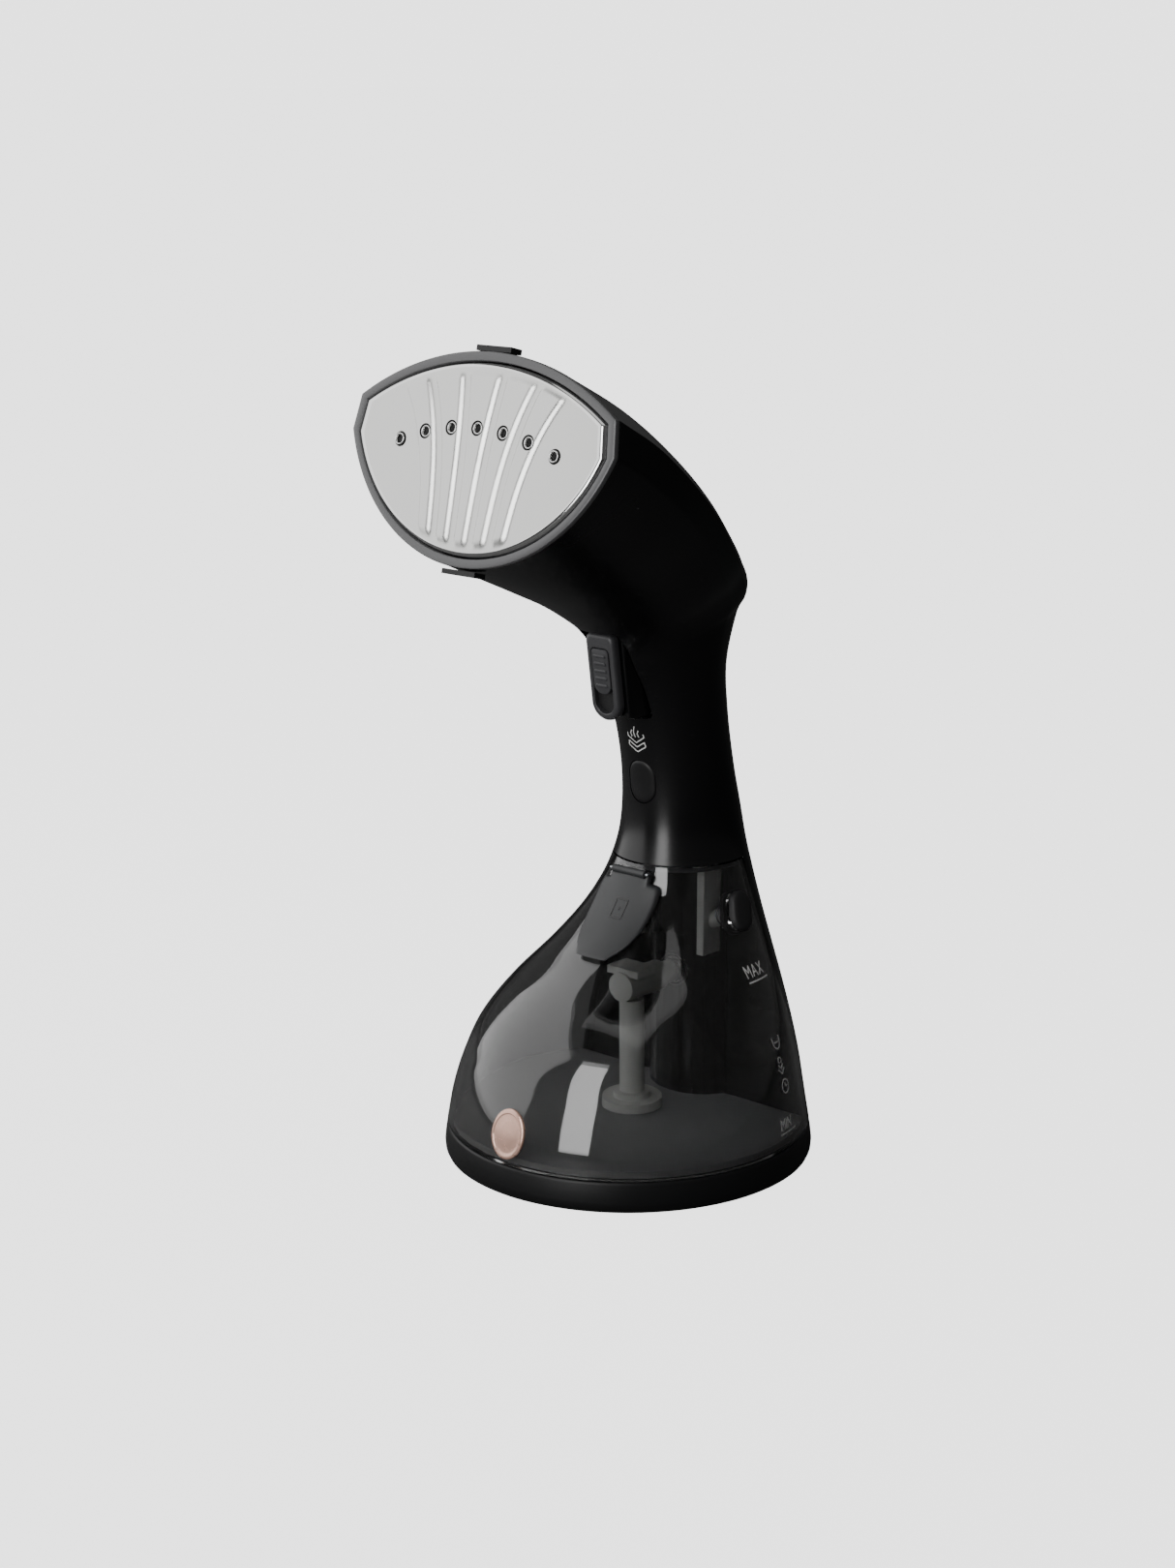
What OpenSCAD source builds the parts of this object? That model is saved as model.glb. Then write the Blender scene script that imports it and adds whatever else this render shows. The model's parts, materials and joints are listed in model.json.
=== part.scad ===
// Handheld garment steamer: a wide steam head on a curved handle, standing on a round foot,
// with a clear water tank that pulls out forwards.  Millimetres throughout.
// X is across the appliance, -Y is the side the steam plate faces, Z is up from the table.

/* [Head] */
// Half width of the shield-shaped opening that carries the steam plate
head_half_width = 57; // [56:0.5:58]
// Half height of the same opening, measured along its own leaning face
head_half_height = 34.4; // [34:0.2:35]
// Lean of the steam plate back from upright, in degrees
plate_lean = 14.3; // [14:0.1:14.6]
// Width of the flat bezel round the steam plate
bezel_width = 4; // [3.4:0.2:4.4]
// Thickness of the flat bezel
bezel_thick = 2; // [1.6:0.2:2.4]
// Radius of each steam hole
steam_hole_radius = 1.4; // [1.0:0.1:1.6]
// Number of steam holes in the arc
steam_holes = 7; // [5:2:7]

/* [Handle] */
// Wall thickness of the two housing shells
housing_wall = 2.4; // [2.0:0.2:2.6]
// Width of the trigger pad
trigger_width = 12.6; // [12:0.2:13]
// Length of the trigger pad
trigger_length = 31; // [30:0.5:32]
// Height of the oval lamp window above the table, at its middle
lamp_height = 132.4; // [131:0.2:134]

/* [Tank] */
// Wall thickness of the clear tank
tank_wall = 2; // [1.8:0.1:2.2]
// Height above the table at which tank and handle meet
tank_top = 104; // [103.5:0.1:104.5]
// Distance behind the foot centre of the flat joint between tank and rear column
tank_back = 35; // [34.5:0.1:35.5]
// Radius of the upright pump column the tank slides against
column_radius = 16.5; // [16:0.1:16.8]
// Radius of the suction tube
suction_radius = 4.4; // [4:0.1:4.6]

/* [Foot] */
// Height of the black foot under the tank
foot_height = 12; // [11.8:0.1:12.2]
// Radius of the foot at its top edge
foot_radius = 64; // [63.5:0.1:64.5]

/* [Hidden] */
$fn = 48;
column_y = 41;
tank_gap = 0.5;
port_height = 60;
plate_centre = [0, -73.55, 252.3];
// side outline of the whole body, one row per level: front y and z, back y and z, half width,
// and how much of the shield shape the section has taken on
outline = [
  [-64.0,  12.0,  64.0,  12.0, 64.0, 0],
  [-61.5,  24.0,  62.0,  24.0, 62.0, 0],
  [-57.2,  36.0,  60.8,  36.0, 59.0, 0],
  [-51.0,  48.0,  59.5,  48.0, 54.5, 0],
  [-39.0,  60.0,  58.4,  60.0, 47.7, 0],
  [-22.0,  72.0,  57.2,  72.0, 39.4, 0],
  [ -8.3,  84.0,  55.7,  84.0, 32.1, 0],
  [  0.8,  96.0,  53.9,  96.0, 26.6, 0],
  [  5.6, 108.0,  51.8, 108.0, 22.8, 0],
  [  7.2, 120.0,  49.8, 120.0, 20.8, 0],
  [  6.5, 135.0,  46.0, 137.0, 19.6, 0],
  [  3.5, 150.0,  42.5, 157.0, 19.6, 0],
  [ -2.0, 165.0,  41.0, 176.0, 21.0, 0.1],
  [ -8.5, 175.5,  46.5, 196.0, 23.4, 0.3],
  [-11.0, 180.0,  50.8, 203.0, 25.2, 0.4],
  [-14.0, 184.3,  45.0, 211.0, 28.0, 0.5],
  [-19.0, 189.0,  35.0, 220.5, 32.5, 0.65],
  [-33.0, 197.4,  15.5, 238.5, 39.0, 0.8],
  [-48.0, 204.3,  -7.5, 255.5, 45.4, 0.9],
  [-64.5, 211.5, -34.5, 272.0, 51.5, 1],
  [-80.1, 218.5, -63.1, 285.1, 57.0, 1]
];
last = len(outline) - 1;
level_pitch = 12;
top_level = (tank_top + 0.1 - foot_height) / level_pitch;
seam_angle = 27;
seam_settles = 13;

// ---- shapes worked out by formula ----

function mix(a, b, u) = a + (b - a) * u;

// smooth curve through four neighbouring values
function curve(a, b, c, d, u) =
  0.5 * (2*b + (c - a)*u + (2*a - 5*b + 4*c - d)*u*u + (3*b - a - 3*c + d)*u*u*u);

// body section at a level; whole numbers land on the rows of the outline
function level(s) = let(
    k = min(max(floor(s), 0), last - 1),
    a = k > 0 ? outline[k - 1] : 2*outline[0] - outline[1],
    d = k + 2 <= last ? outline[k + 2] : 2*outline[last] - outline[last - 1])
  curve(a, outline[k], outline[k + 1], d, s - k);

// level number at a height inside the upright lower part
function level_at(z) = (z - foot_height) / level_pitch;

// reach of a ray at angle a from the middle to a circle of radius r centred c above the middle
function reach(a, c, r) = c*sin(a) + sqrt(r*r - c*c*cos(a)*cos(a));

// shield shape: shallow arc above, deep arc below, short straight sides that lean in upwards
low_corner = [head_half_width, 5.45];
high_corner = [head_half_width - 1.7, 17.0];
top_rise = head_half_height - high_corner[1];
top_radius = (pow(high_corner[0], 2) + pow(top_rise, 2)) / (2 * top_rise);
low_drop = head_half_height + low_corner[1];
low_radius = (pow(low_corner[0], 2) + pow(low_drop, 2)) / (2 * low_drop);
side_run = high_corner[1] - low_corner[1];

function shield_reach(a) = let(
    up = reach(a, head_half_height - top_radius, top_radius),
    down = reach(a, low_radius - head_half_height, low_radius),
    lean = side_run*abs(cos(a)) + 1.7*sin(a),
    side = lean > 0.01 ? (side_run*low_corner[0] + 1.7*low_corner[1]) / lean : 999)
  min(up, down, side);

// shield against plain ellipse, for one step t round the section
function shield_gain(t) = let(
    x = head_half_width*cos(t), y = head_half_height*sin(t))
  shield_reach(atan2(y, x)) / norm([x, y]);

// point of the body skin at level s, step t round it, moved inwards by inset
function skin_point(s, t, inset) = let(
    p = level(s),
    lean = [p[2] - p[0], p[3] - p[1]] / 2,
    h = norm(lean),
    gain = mix(1, shield_gain(t), p[5]),
    v = (h - inset) * gain * sin(t))
  [(p[4] - inset) * gain * cos(t), (p[0] + p[2])/2 + lean[0]/h*v, (p[1] + p[3])/2 + lean[1]/h*v];

// step round the section at which the front and rear shells meet
function cut_angle(s, y, inset) = let(p = level(s))
  asin((y - (p[0] + p[2])/2) / ((p[2] - p[0])/2 - inset));
function seam(s, inset) = s <= top_level ? cut_angle(s, tank_back, inset)
  : s >= seam_settles ? seam_angle
  : mix(cut_angle(top_level, tank_back, inset), seam_angle,
        (s - top_level)/(seam_settles - top_level));

// rings of points running round the front or the rear of the skin
function front_ring(s, inset, n) = let(e = seam(s, inset))
  [for (i = [0:n]) skin_point(s, 180 - e + (180 + 2*e)*i/n, inset)];
function rear_ring(s, inset, n) = let(e = seam(s, inset) + 0.4)
  [for (i = [0:n]) skin_point(s, e + (180 - 2*e)*i/n, inset)];

// one horizontal ring of the tank: round the front, then back along the notch for the column
function tank_ring(s, inset) = let(
    z = foot_height + level_pitch*s,
    y = tank_back - inset,
    e = cut_angle(s, y, inset),
    r = column_radius + tank_gap + inset,
    f = asin((y - column_y)/r))
  concat([for (i = [0:26]) skin_point(s, 180 - e + (180 + 2*e)*i/26, inset)],
         [for (i = [0:8]) let(a = f - (180 + 2*f)*i/8) [r*cos(a), column_y + r*sin(a), z]]);

// front wall of the rear column seen from the tank side, left to right
function bay_ring(s, inset) = let(
    z = foot_height + level_pitch*s,
    y = tank_back + 0.4 + inset,
    e = cut_angle(s, y, housing_wall),
    r = column_radius - inset,
    f = asin((y - column_y)/r),
    p = skin_point(s, e, housing_wall + 0.35))
  concat([[-p[0], y, z]],
         [for (i = [0:10]) let(a = -180 - f + (180 + 2*f)*i/10) [r*cos(a), column_y + r*sin(a), z]],
         [[p[0], y, z]]);

// height of the tank skin in front, as a y value, at height z and offset x
function tank_front(x, z) = let(p = level(level_at(z)))
  (p[0] + p[2])/2 - (p[2] - p[0])/2*sqrt(1 - pow(x/p[4], 2));

// closed solid between an outer set of rings and an inner set
module skin(outer, inner, closed) {
  m = len(outer);
  n = len(outer[0]);
  w = closed ? n : n - 1;
  pts = concat([for (r = outer) each r], [for (r = inner) each r]);
  function o(k, i) = k*n + i % n;
  function q(k, i) = m*n + k*n + i % n;
  function quad(a, b, c, d) = [[a, b, c], [a, c, d]];
  shell = [for (k = [0:m - 2]) for (i = [0:w - 1]) each
    concat(quad(o(k, i), o(k + 1, i), o(k + 1, i + 1), o(k, i + 1)),
           quad(q(k, i), q(k, i + 1), q(k + 1, i + 1), q(k + 1, i)))];
  ends = [for (i = [0:w - 1]) each
    concat(quad(o(0, i), o(0, i + 1), q(0, i + 1), q(0, i)),
           quad(o(m - 1, i), q(m - 1, i), q(m - 1, i + 1), o(m - 1, i + 1)))];
  sides = closed ? [] : [for (k = [0:m - 2]) each
    concat(quad(o(k, 0), q(k, 0), q(k + 1, 0), o(k + 1, 0)),
           quad(o(k, n - 1), o(k + 1, n - 1), q(k + 1, n - 1), q(k, n - 1)))];
  polyhedron(points = pts, faces = concat(shell, ends, sides));
}

// solid round bar swept along a list of points
module sweep(path, r, sides) {
  n = len(path);
  function dir(i) = let(v = path[min(i + 1, n - 1)] - path[max(i - 1, 0)]) v / norm(v);
  function across(d) = let(c = abs(d[0]) > 0.9 ? [0, 0, 1] : [1, 0, 0], v = cross(d, c)) v / norm(v);
  pts = [for (i = [0:n - 1]) let(d = dir(i), u = across(d), v = cross(d, u))
    for (j = [0:sides - 1]) path[i] + r*(u*cos(360*j/sides) + v*sin(360*j/sides))];
  walls = [for (i = [0:n - 2]) for (j = [0:sides - 1]) let(
      a = i*sides + j, b = i*sides + (j + 1) % sides)
    each [[a, a + sides, b + sides], [a, b + sides, b]]];
  caps = [[for (j = [0:sides - 1]) j], [for (j = [sides - 1:-1:0]) (n - 1)*sides + j]];
  polyhedron(points = pts, faces = concat(walls, caps));
}

// smooth path through a few points
function smooth_path(p, n) = [for (k = [0:len(p) - 2]) for (i = [0:n - 1])
    curve(k > 0 ? p[k - 1] : 2*p[0] - p[1], p[k], p[k + 1],
          k + 2 < len(p) ? p[k + 2] : 2*p[k + 1] - p[k], i/n), p[len(p) - 1]];

// wire spring standing on its own base
module coil(r, wire, height, turns) {
  steps = turns*14;
  sweep([for (i = [0:steps]) [r*cos(360*turns*i/steps), r*sin(360*turns*i/steps),
    wire + (height - 2*wire)*i/steps]], wire, 7);
}

// rounded slot shape, long way up
module slot(width, length) {
  square([width, length - width], center = true);
  for (side = [-1, 1]) translate([0, side*(length - width)/2]) circle(d = width);
}

// ---- places ----

// the leaning plane of the steam plate: x across, y up the plate, z out of its face
module at_plate(z = 0) {
  translate(plate_centre) rotate([90 - plate_lean, 0, 0]) translate([0, 0, z]) children();
}

// the face of the trigger pad: x across, y up it, z out of it
module at_trigger(z = 0) {
  translate([0, -13.6, 172.4]) rotate([98, 0, 0]) translate([0, 0, z]) children();
}

// the sloping flank where the release button sits, on the +X side
module at_button(z = 0) {
  translate([30.4, 24.4, 87.8]) rotate([0, 65.4, 0]) rotate([0, 0, -22]) translate([0, 0, z]) children();
}

module shield(inset) {
  polygon([for (i = [0:79]) let(t = 4.5*i, g = shield_gain(t))
    [(head_half_width - inset)*g*cos(t), (head_half_height - inset)*g*sin(t)]]);
}

module shield_ring(outer, inner, height) {
  linear_extrude(height) difference() {
    shield(outer);
    shield(inner);
  }
}

function hole_x(i) = (i - (steam_holes - 1)/2) * 11.2;
function hole_y(x) = 9.8 - 0.0053*x*x;

// ---- head ----

module bezel_ring() {
  color("#6f6f70") at_plate() {
    translate([0, 0, -bezel_thick]) shield_ring(0, bezel_width, bezel_thick);
    translate([0, 0, -4]) shield_ring(housing_wall + 0.9, bezel_width, 4.2 - bezel_thick);
  }
}

// pressed metal plate with a turned-back rim, an arc of holes and raised eyelets
module steam_plate() {
  color("#d3d3d1") at_plate() difference() {
    union() {
      translate([0, 0, -0.6]) linear_extrude(1.2) shield(bezel_width + 0.7);
      translate([0, 0, -4.6]) shield_ring(bezel_width + 0.7, bezel_width + 1.9, 4.2);
      for (i = [0:steam_holes - 1])
        translate([hole_x(i), hole_y(hole_x(i)), 0.4]) cylinder(r = 2.7, h = 0.9);
    }
    for (i = [0:steam_holes - 1])
      translate([hole_x(i), hole_y(hole_x(i)), -2]) cylinder(r = steam_hole_radius, h = 5);
  }
}

module top_clip() {
  color("#2b2b2c") at_plate() translate([-7.5, head_half_height + 0.05, -5.4]) difference() {
    cube([15, 1.8, 5]);
    translate([1.6, -1, 1.4]) cube([11.8, 1.5, 2.6]);
  }
}

module bottom_clip() {
  color("#2b2b2c") at_plate() translate([-7.2, -head_half_height - 2.4, -5.4]) difference() {
    cube([14.4, 1.7, 5]);
    translate([1.6, 1.2, 1.4]) cube([11.2, 1.5, 2.6]);
  }
}

module steam_seal() {
  color("#b6563c") at_plate(-5.9) shield_ring(bezel_width + 3, bezel_width + 6, 5.2);
}

// cast block that boils the water, hollow towards the plate
module boiler_block() {
  color("#a9abad") at_plate(-19) difference() {
    linear_extrude(13) shield(8);
    translate([0, 0, 7]) linear_extrude(7) shield(12);
    translate([0, 15, -1]) cylinder(r = 2.02, h = 9);
    for (side = [-1, 1]) translate([side*38, 0, -1]) cylinder(r = 1.3, h = 7);
  }
}

module heating_element() {
  color("#8a7f72") at_plate(-22.5) {
    translate([0, -2, 0]) rotate([0, 0, 180]) rotate_extrude(angle = 180) translate([20, 0]) circle(r = 3.2);
    for (side = [-1, 1]) translate([side*20, -2, 0]) rotate([-90, 0, 0]) cylinder(r = 3.2, h = 16);
  }
}

module heat_shield() {
  color("#b9ae93") at_plate(-28.6) difference() {
    linear_extrude(1.2) shield(13);
    translate([0, 15, -1]) cylinder(r = 5, h = 4);
    translate([0, -2, -1]) cylinder(r = 9.5, h = 4);
    for (side = [-1, 1]) translate([side*34, 2, -1]) cylinder(r = 3, h = 4);
  }
}

module thermostat() {
  color("#d9d4c6") at_plate(-27) translate([0, -2, 0]) {
    cylinder(r = 8.5, h = 7.9);
    translate([0, 0, -5]) cylinder(r = 6, h = 5);
  }
}

module thermal_fuse() {
  color("#c9c7c0") at_plate(-21.3) translate([-32.4, -9, 0]) rotate([-90, 0, 0]) {
    cylinder(r = 2.2, h = 14);
    translate([0, 0, -5]) cylinder(r = 0.5, h = 24);
  }
}

module boiler_inlet() {
  color("#b08d4a") at_plate(-31) translate([0, 15, 0]) difference() {
    union() {
      cylinder(r = 2, h = 15);
      translate([0, 0, 9.8]) cylinder(r = 3.6, h = 2);
    }
    translate([0, 0, -1]) cylinder(r = 1.1, h = 18);
  }
}

// screws that draw the boiler block to the bezel ring
module plate_screws() {
  color("#9a9da0") at_plate() for (side = [-1, 1]) translate([side*38, 0, -20.9]) {
    cylinder(r = 2.6, h = 1.8);
    cylinder(r = 1.25, h = 7.8);
  }
}

// ---- handle ----

front_levels = [for (i = [0:25]) mix(top_level, last, i/25)];
rear_levels = [for (i = [0:40]) mix(0.005, last, i/40)];

module front_housing() {
  color("#161617") difference() {
    skin([for (s = front_levels) front_ring(s, 0, 26)],
         [for (s = front_levels) front_ring(s, housing_wall, 26)], false);
    translate([-8.3, -40, 156.2]) cube([16.6, 46, 32.4]);
    translate([0, 14, lamp_height]) rotate([90, 0, 0]) linear_extrude(14) slot(12, 15.6);
  }
}

module rear_housing() {
  color("#161617") difference() {
    skin([for (s = rear_levels) rear_ring(s, 0, 14)],
         [for (s = rear_levels) rear_ring(s, housing_wall, 14)], false);
    for (z = [42, 86, 128]) translate([0, 40, z]) rotate([-90, 0, 0]) cylinder(r = 3.1, h = 30);
    translate([0, 50, 26]) rotate([-90, 0, 0]) cylinder(r = 8, h = 20);
  }
}

module handle_floor() {
  color("#202021") difference() {
    translate([0, 0, tank_top + 0.3]) linear_extrude(2) polygon([for (i = [0:59])
      let(p = skin_point(level_at(tank_top + 2.6), 6*i, housing_wall + 0.3)) [p[0], p[1]]]);
    translate([0, column_y, tank_top - 1]) cylinder(r = column_radius + 0.2, h = 5);
    translate([-40, tank_back + 0.2, tank_top - 1]) cube([80, 40, 5]);
  }
}

module trigger_pad() {
  color("#3d3d3f") at_trigger(-3.4) difference() {
    linear_extrude(3.4) union() {
      translate([0, -trigger_length/2 + trigger_width/2]) circle(d = trigger_width);
      translate([-trigger_width/2, -trigger_length/2 + trigger_width/2])
        square([trigger_width, trigger_length - trigger_width/2]);
    }
    translate([0, -1.2, 1.4]) linear_extrude(3) slot(8.2, 23.4);
  }
}

// flat-sided body of the trigger that reaches into the handle and turns on the pin
module trigger_block() {
  color("#0d0d0e") difference() {
    translate([-7.9, 0, 0]) rotate([90, 0, 90]) linear_extrude(15.8) polygon([
      [-12.1, 186.9], [-8.2, 158.6], [-4.5, 157.6], [0.5, 158.0], [3.6, 160.2], [4.4, 163.0],
      [3.2, 168.0], [0.5, 174.0], [-0.5, 180.0], [0.0, 186.0], [-2.0, 187.2]]);
    translate([-12, -3.6, 183.6]) rotate([0, 90, 0]) cylinder(r = 1.56, h = 24);
  }
}

module lock_slider() {
  color("#474749") at_trigger(-1.9) translate([0, 2.2, 0]) {
    linear_extrude(2.1) slot(7.6, 16);
    for (i = [-2:2]) translate([-2.6, i*2.5 - 0.5, 2.1]) cube([5.2, 1, 0.5]);
  }
}

module trigger_pin() {
  color("#b9bcbf") translate([-10, -3.6, 183.6]) rotate([0, 90, 0]) cylinder(r = 1.5, h = 20);
}

module trigger_spring() {
  color("#a7abb0") translate([0, 3.95, 168]) rotate([-90, 0, 0]) coil(1.6, 0.28, 5.1, 4);
}

module microswitch() {
  color("#1c1c1d") translate([-3.4, 9.2, 156.5]) {
    cube([6.8, 6.4, 15]);
    translate([2.4, -1.2, 5]) cube([2, 1.2, 3]);
    for (z = [1.5, 7, 12.5]) translate([2.9, 6.4, z]) cube([1, 3.2, 0.8]);
  }
}

module lamp_lens() {
  color("#1b1b1c") translate([0, 10.3, lamp_height]) rotate([90, 0, 0]) {
    linear_extrude(3.5) slot(11.5, 15.1);
    translate([0, 0, -0.8]) linear_extrude(0.8) slot(11.4, 17.2);
  }
}

module lamp_led() {
  color("#c8503c") translate([0, 16.9, lamp_height]) rotate([90, 0, 0]) {
    cylinder(r = 2.5, h = 4);
    translate([0, 0, -0.8]) cylinder(r = 2.9, h = 0.8);
  }
}

module control_board() {
  color("#2f6b3c") translate([-12, 17.8, 111]) cube([24, 1.6, 43]);
}

module board_parts() {
  color("#3b3b40") translate([0, 19.4, 0]) {
    translate([-9, 0, 113]) cube([15, 10, 12]);
    translate([-8, 0, 128]) cube([10, 8, 8]);
    translate([6, 0, 132]) rotate([-90, 0, 0]) cylinder(r = 4, h = 11);
    translate([-9, 0, 140]) cube([18, 5, 9]);
  }
}

// silicone hose from the pump up the handle to the boiler inlet
module water_hose() {
  color("#d8d4cc") sweep(smooth_path([[0, 41, 92], [0, 40.2, 110], [0, 36, 130], [0, 33, 150],
    [0, 31, 170], [0, 26, 190], [0, 8, 212], [0, -15, 235], [0, -29.5, 254.0], [0, -38, 260.4]], 4), 2.6, 12);
}

module wiring() {
  color("#26262a") for (side = [-1, 1]) sweep(smooth_path([[side*13.5, 48, 34], [side*14.5, 46, 60],
    [side*14.5, 43, 100], [side*13, 36, 130], [side*13.5, 32, 150], [side*14, 28, 170], [side*16, 20, 190],
    [side*19, 2, 212], [side*22, -26, 236]], 4), 1.4, 8);
}

// ---- rear column ----

bay_levels = [for (i = [0:8]) mix(0.03, level_at(tank_top - 0.1), i/8)];

module bay_wall() {
  color("#1a1a1b") difference() {
    skin([for (s = bay_levels) bay_ring(s, 0)], [for (s = bay_levels) bay_ring(s, 1.8)], false);
    translate([0, 20, port_height]) rotate([-90, 0, 0]) cylinder(r = 6.1, h = 10);
  }
}

module pump_body() {
  color("#d6d6d2") translate([0, column_y, 0]) {
    translate([0, 0, 34]) cylinder(r = 5, h = 8);
    translate([0, 0, 66.2]) cylinder(r = 7.4, h = 14);
    translate([0, 0, 80.2]) cylinder(r = 3, h = 6);
    translate([0, 0, 86.2]) cylinder(r = 1.9, h = 5.6);
  }
}

module pump_coil() {
  color("#7c3f23") translate([0, column_y, 42.2]) difference() {
    cylinder(r = 11, h = 23.8);
    translate([0, 0, -1]) cylinder(r = 3, h = 30);
  }
}

module pump_mounts() {
  color("#232324") translate([0, column_y, 0]) for (z = [36, 70]) translate([0, 0, z]) difference() {
    cylinder(r = 12.5, h = 4);
    translate([0, 0, -1]) cylinder(r = z < 50 ? 5.05 : 7.45, h = 6);
  }
}

module inlet_port() {
  color("#c9c9c6") translate([0, 25.6, port_height]) rotate([-90, 0, 0]) difference() {
    union() {
      cylinder(r = 6, h = 1.2);
      cylinder(r = 5.2, h = 4.2);
    }
    translate([0, 0, -1]) cylinder(r = 4, h = 4.2);
    translate([0, 0, -1]) cylinder(r = 2, h = 8);
  }
}

module port_seal() {
  color("#101011") translate([0, 25.28, port_height]) rotate([90, 0, 0])
    rotate_extrude() translate([5.1, 0]) circle(r = 0.28);
}

module cord_gland() {
  color("#242425") translate([0, 53, 26]) rotate([-90, 0, 0]) difference() {
    union() {
      cylinder(r = 7.9, h = 10.6);
      cylinder(r = 9.8, h = 5);
    }
    translate([0, 0, -1]) cylinder(r = 3.4, h = 14);
    rotate_extrude() translate([8.4, 1.6]) square([3, 1.6]);
  }
}

module terminal_block() {
  color("#d9d5c8") translate([-8, 42.4, 13.2]) {
    cube([16, 7, 8]);
    for (x = [3, 8, 13]) translate([x, 3.5, 8]) cylinder(r = 1.6, h = 0.8);
  }
}

module housing_screws() {
  color("#8f9295") for (p = [[42, 55.4], [86, 51], [128, 43.2]])
    translate([0, p[1], p[0]]) rotate([-90, 0, 0]) difference() {
      union() {
        cylinder(r = 2.9, h = 2.4);
        translate([0, 0, -3]) cylinder(r = 1.4, h = 3);
      }
      translate([-2, -0.4, 1.6]) cube([4, 0.8, 2]);
      translate([-0.4, -2, 1.6]) cube([0.8, 4, 2]);
    }
}

// ---- foot ----

module base_foot() {
  color("#1c1c1d") difference() {
    rotate_extrude() polygon([[0, foot_height - 2.6], [61, foot_height - 2.6], [61, 1],
      [foot_radius - 0.6, 1], [foot_radius + 0.6, 2.6], [foot_radius + 0.9, 5],
      [foot_radius, foot_height - 0.4], [foot_radius - 0.5, foot_height], [0, foot_height]]);
    for (a = [45:90:315]) rotate([0, 0, a]) translate([50, 0, 5]) cylinder(r = 1.3, h = 9);
    translate([0, column_y, 5]) cylinder(r = 8, h = 9);
  }
}

module base_cover() {
  color("#222223") difference() {
    translate([0, 0, 1.2]) cylinder(r = 60.8, h = 2.2);
    for (a = [45:90:315]) rotate([0, 0, a]) translate([50, 0, 0]) {
      translate([0, 0, 0.5]) cylinder(r = 3.1, h = 1.5);
      translate([0, 0, 0.5]) cylinder(r = 1.6, h = 5);
    }
    for (a = [22.5:45:340]) rotate([0, 0, a]) translate([54, 0, 0.4]) cylinder(r = 4.6, h = 1.4);
  }
}

module foot_pads() {
  color("#2d2d2e") for (a = [22.5:45:340]) rotate([0, 0, a]) translate([54, 0, 0]) cylinder(r = 4.5, h = 1.75);
}

module base_screws() {
  color("#8f9295") for (a = [45:90:315]) rotate([0, 0, a]) translate([50, 0, 0]) {
    translate([0, 0, 1.3]) cylinder(r = 2.9, h = 0.7);
    translate([0, 0, 2]) cylinder(r = 1.25, h = 9.2);
  }
}

// ---- tank ----

tank_levels = [for (i = [0:17]) mix(level_at(foot_height + 0.4), level_at(tank_top - 0.5), i/17)];

module tank_shell() {
  color("#5b5f62", 0.55) difference() {
    skin([for (s = tank_levels) tank_ring(s, 0)], [for (s = tank_levels) tank_ring(s, tank_wall)], true);
    translate([0, 12, 87]) rotate([90, 0, 0]) linear_extrude(40) slot(17, 22);
    for (side = [0, 1]) mirror([side, 0, 0]) at_button(-6) linear_extrude(12) rotate(90) slot(9.8, 14.8);
    translate([0, 15, port_height]) rotate([-90, 0, 0]) cylinder(r = 4.3, h = 12);
  }
}

// flat plate closing the tank at one level, fitted inside the wall
module tank_plate(z, thick) {
  translate([0, 0, z]) linear_extrude(thick)
    polygon([for (p = tank_ring(level_at(z + thick), tank_wall + 0.15)) [p[0], p[1]]]);
}

module tank_floor() {
  color("#8d9092") tank_plate(12.5, 2.4);
}

module tank_deck() {
  color("#4a4c4e") tank_plate(101.2, 1.6);
}

// outline of the filling flap, as half widths at heights
flap = [[75.2, 6.4], [76.2, 7.4], [78, 9.6], [80, 11.2], [83, 12.4], [87, 13], [92, 13.1],
  [96, 12.8], [97.6, 12], [98.2, 8.6], [101.5, 8.2]];

// curved sheet that follows the tank front, between two distances off it
module flap_sheet(near, far, trim) {
  function row(f, off) = [for (i = [-6:6]) let(x = (f[1] - trim)*i/6)
    [x, tank_front(x, f[0]) - off, f[0]]];
  rows = [for (f = flap) [min(max(f[0], 75.2 + trim), 101.5 - trim), f[1]]];
  skin([for (f = rows) row(f, far)], [for (f = rows) row(f, near)], false);
}

cap_pin = [0, 0.75, 101.5];

module fill_cap() {
  color("#4b4d4f") difference() {
    union() {
      flap_sheet(1.3, 3.1, 0);
      translate(cap_pin - [7.4, 0, 0]) rotate([0, 90, 0]) cylinder(r = 1.4, h = 14.8);
    }
    translate(cap_pin - [9, 0, 0]) rotate([0, 90, 0]) cylinder(r = 0.75, h = 18);
  }
}

module cap_seal() {
  color("#29292a") flap_sheet(0.4, 1.25, 1.3);
}

module cap_hinge_pin() {
  color("#b9bcbf") translate(cap_pin - [8.6, 0, 0]) rotate([0, 90, 0]) cylinder(r = 0.7, h = 17.2);
}

module suction_tube() {
  color("#d5d6d4") translate([0, 2, 0]) difference() {
    translate([0, 0, 20.6]) cylinder(r = suction_radius, h = port_height - 26.2);
    translate([0, 0, 18]) cylinder(r = 2.6, h = port_height);
  }
}

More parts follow.
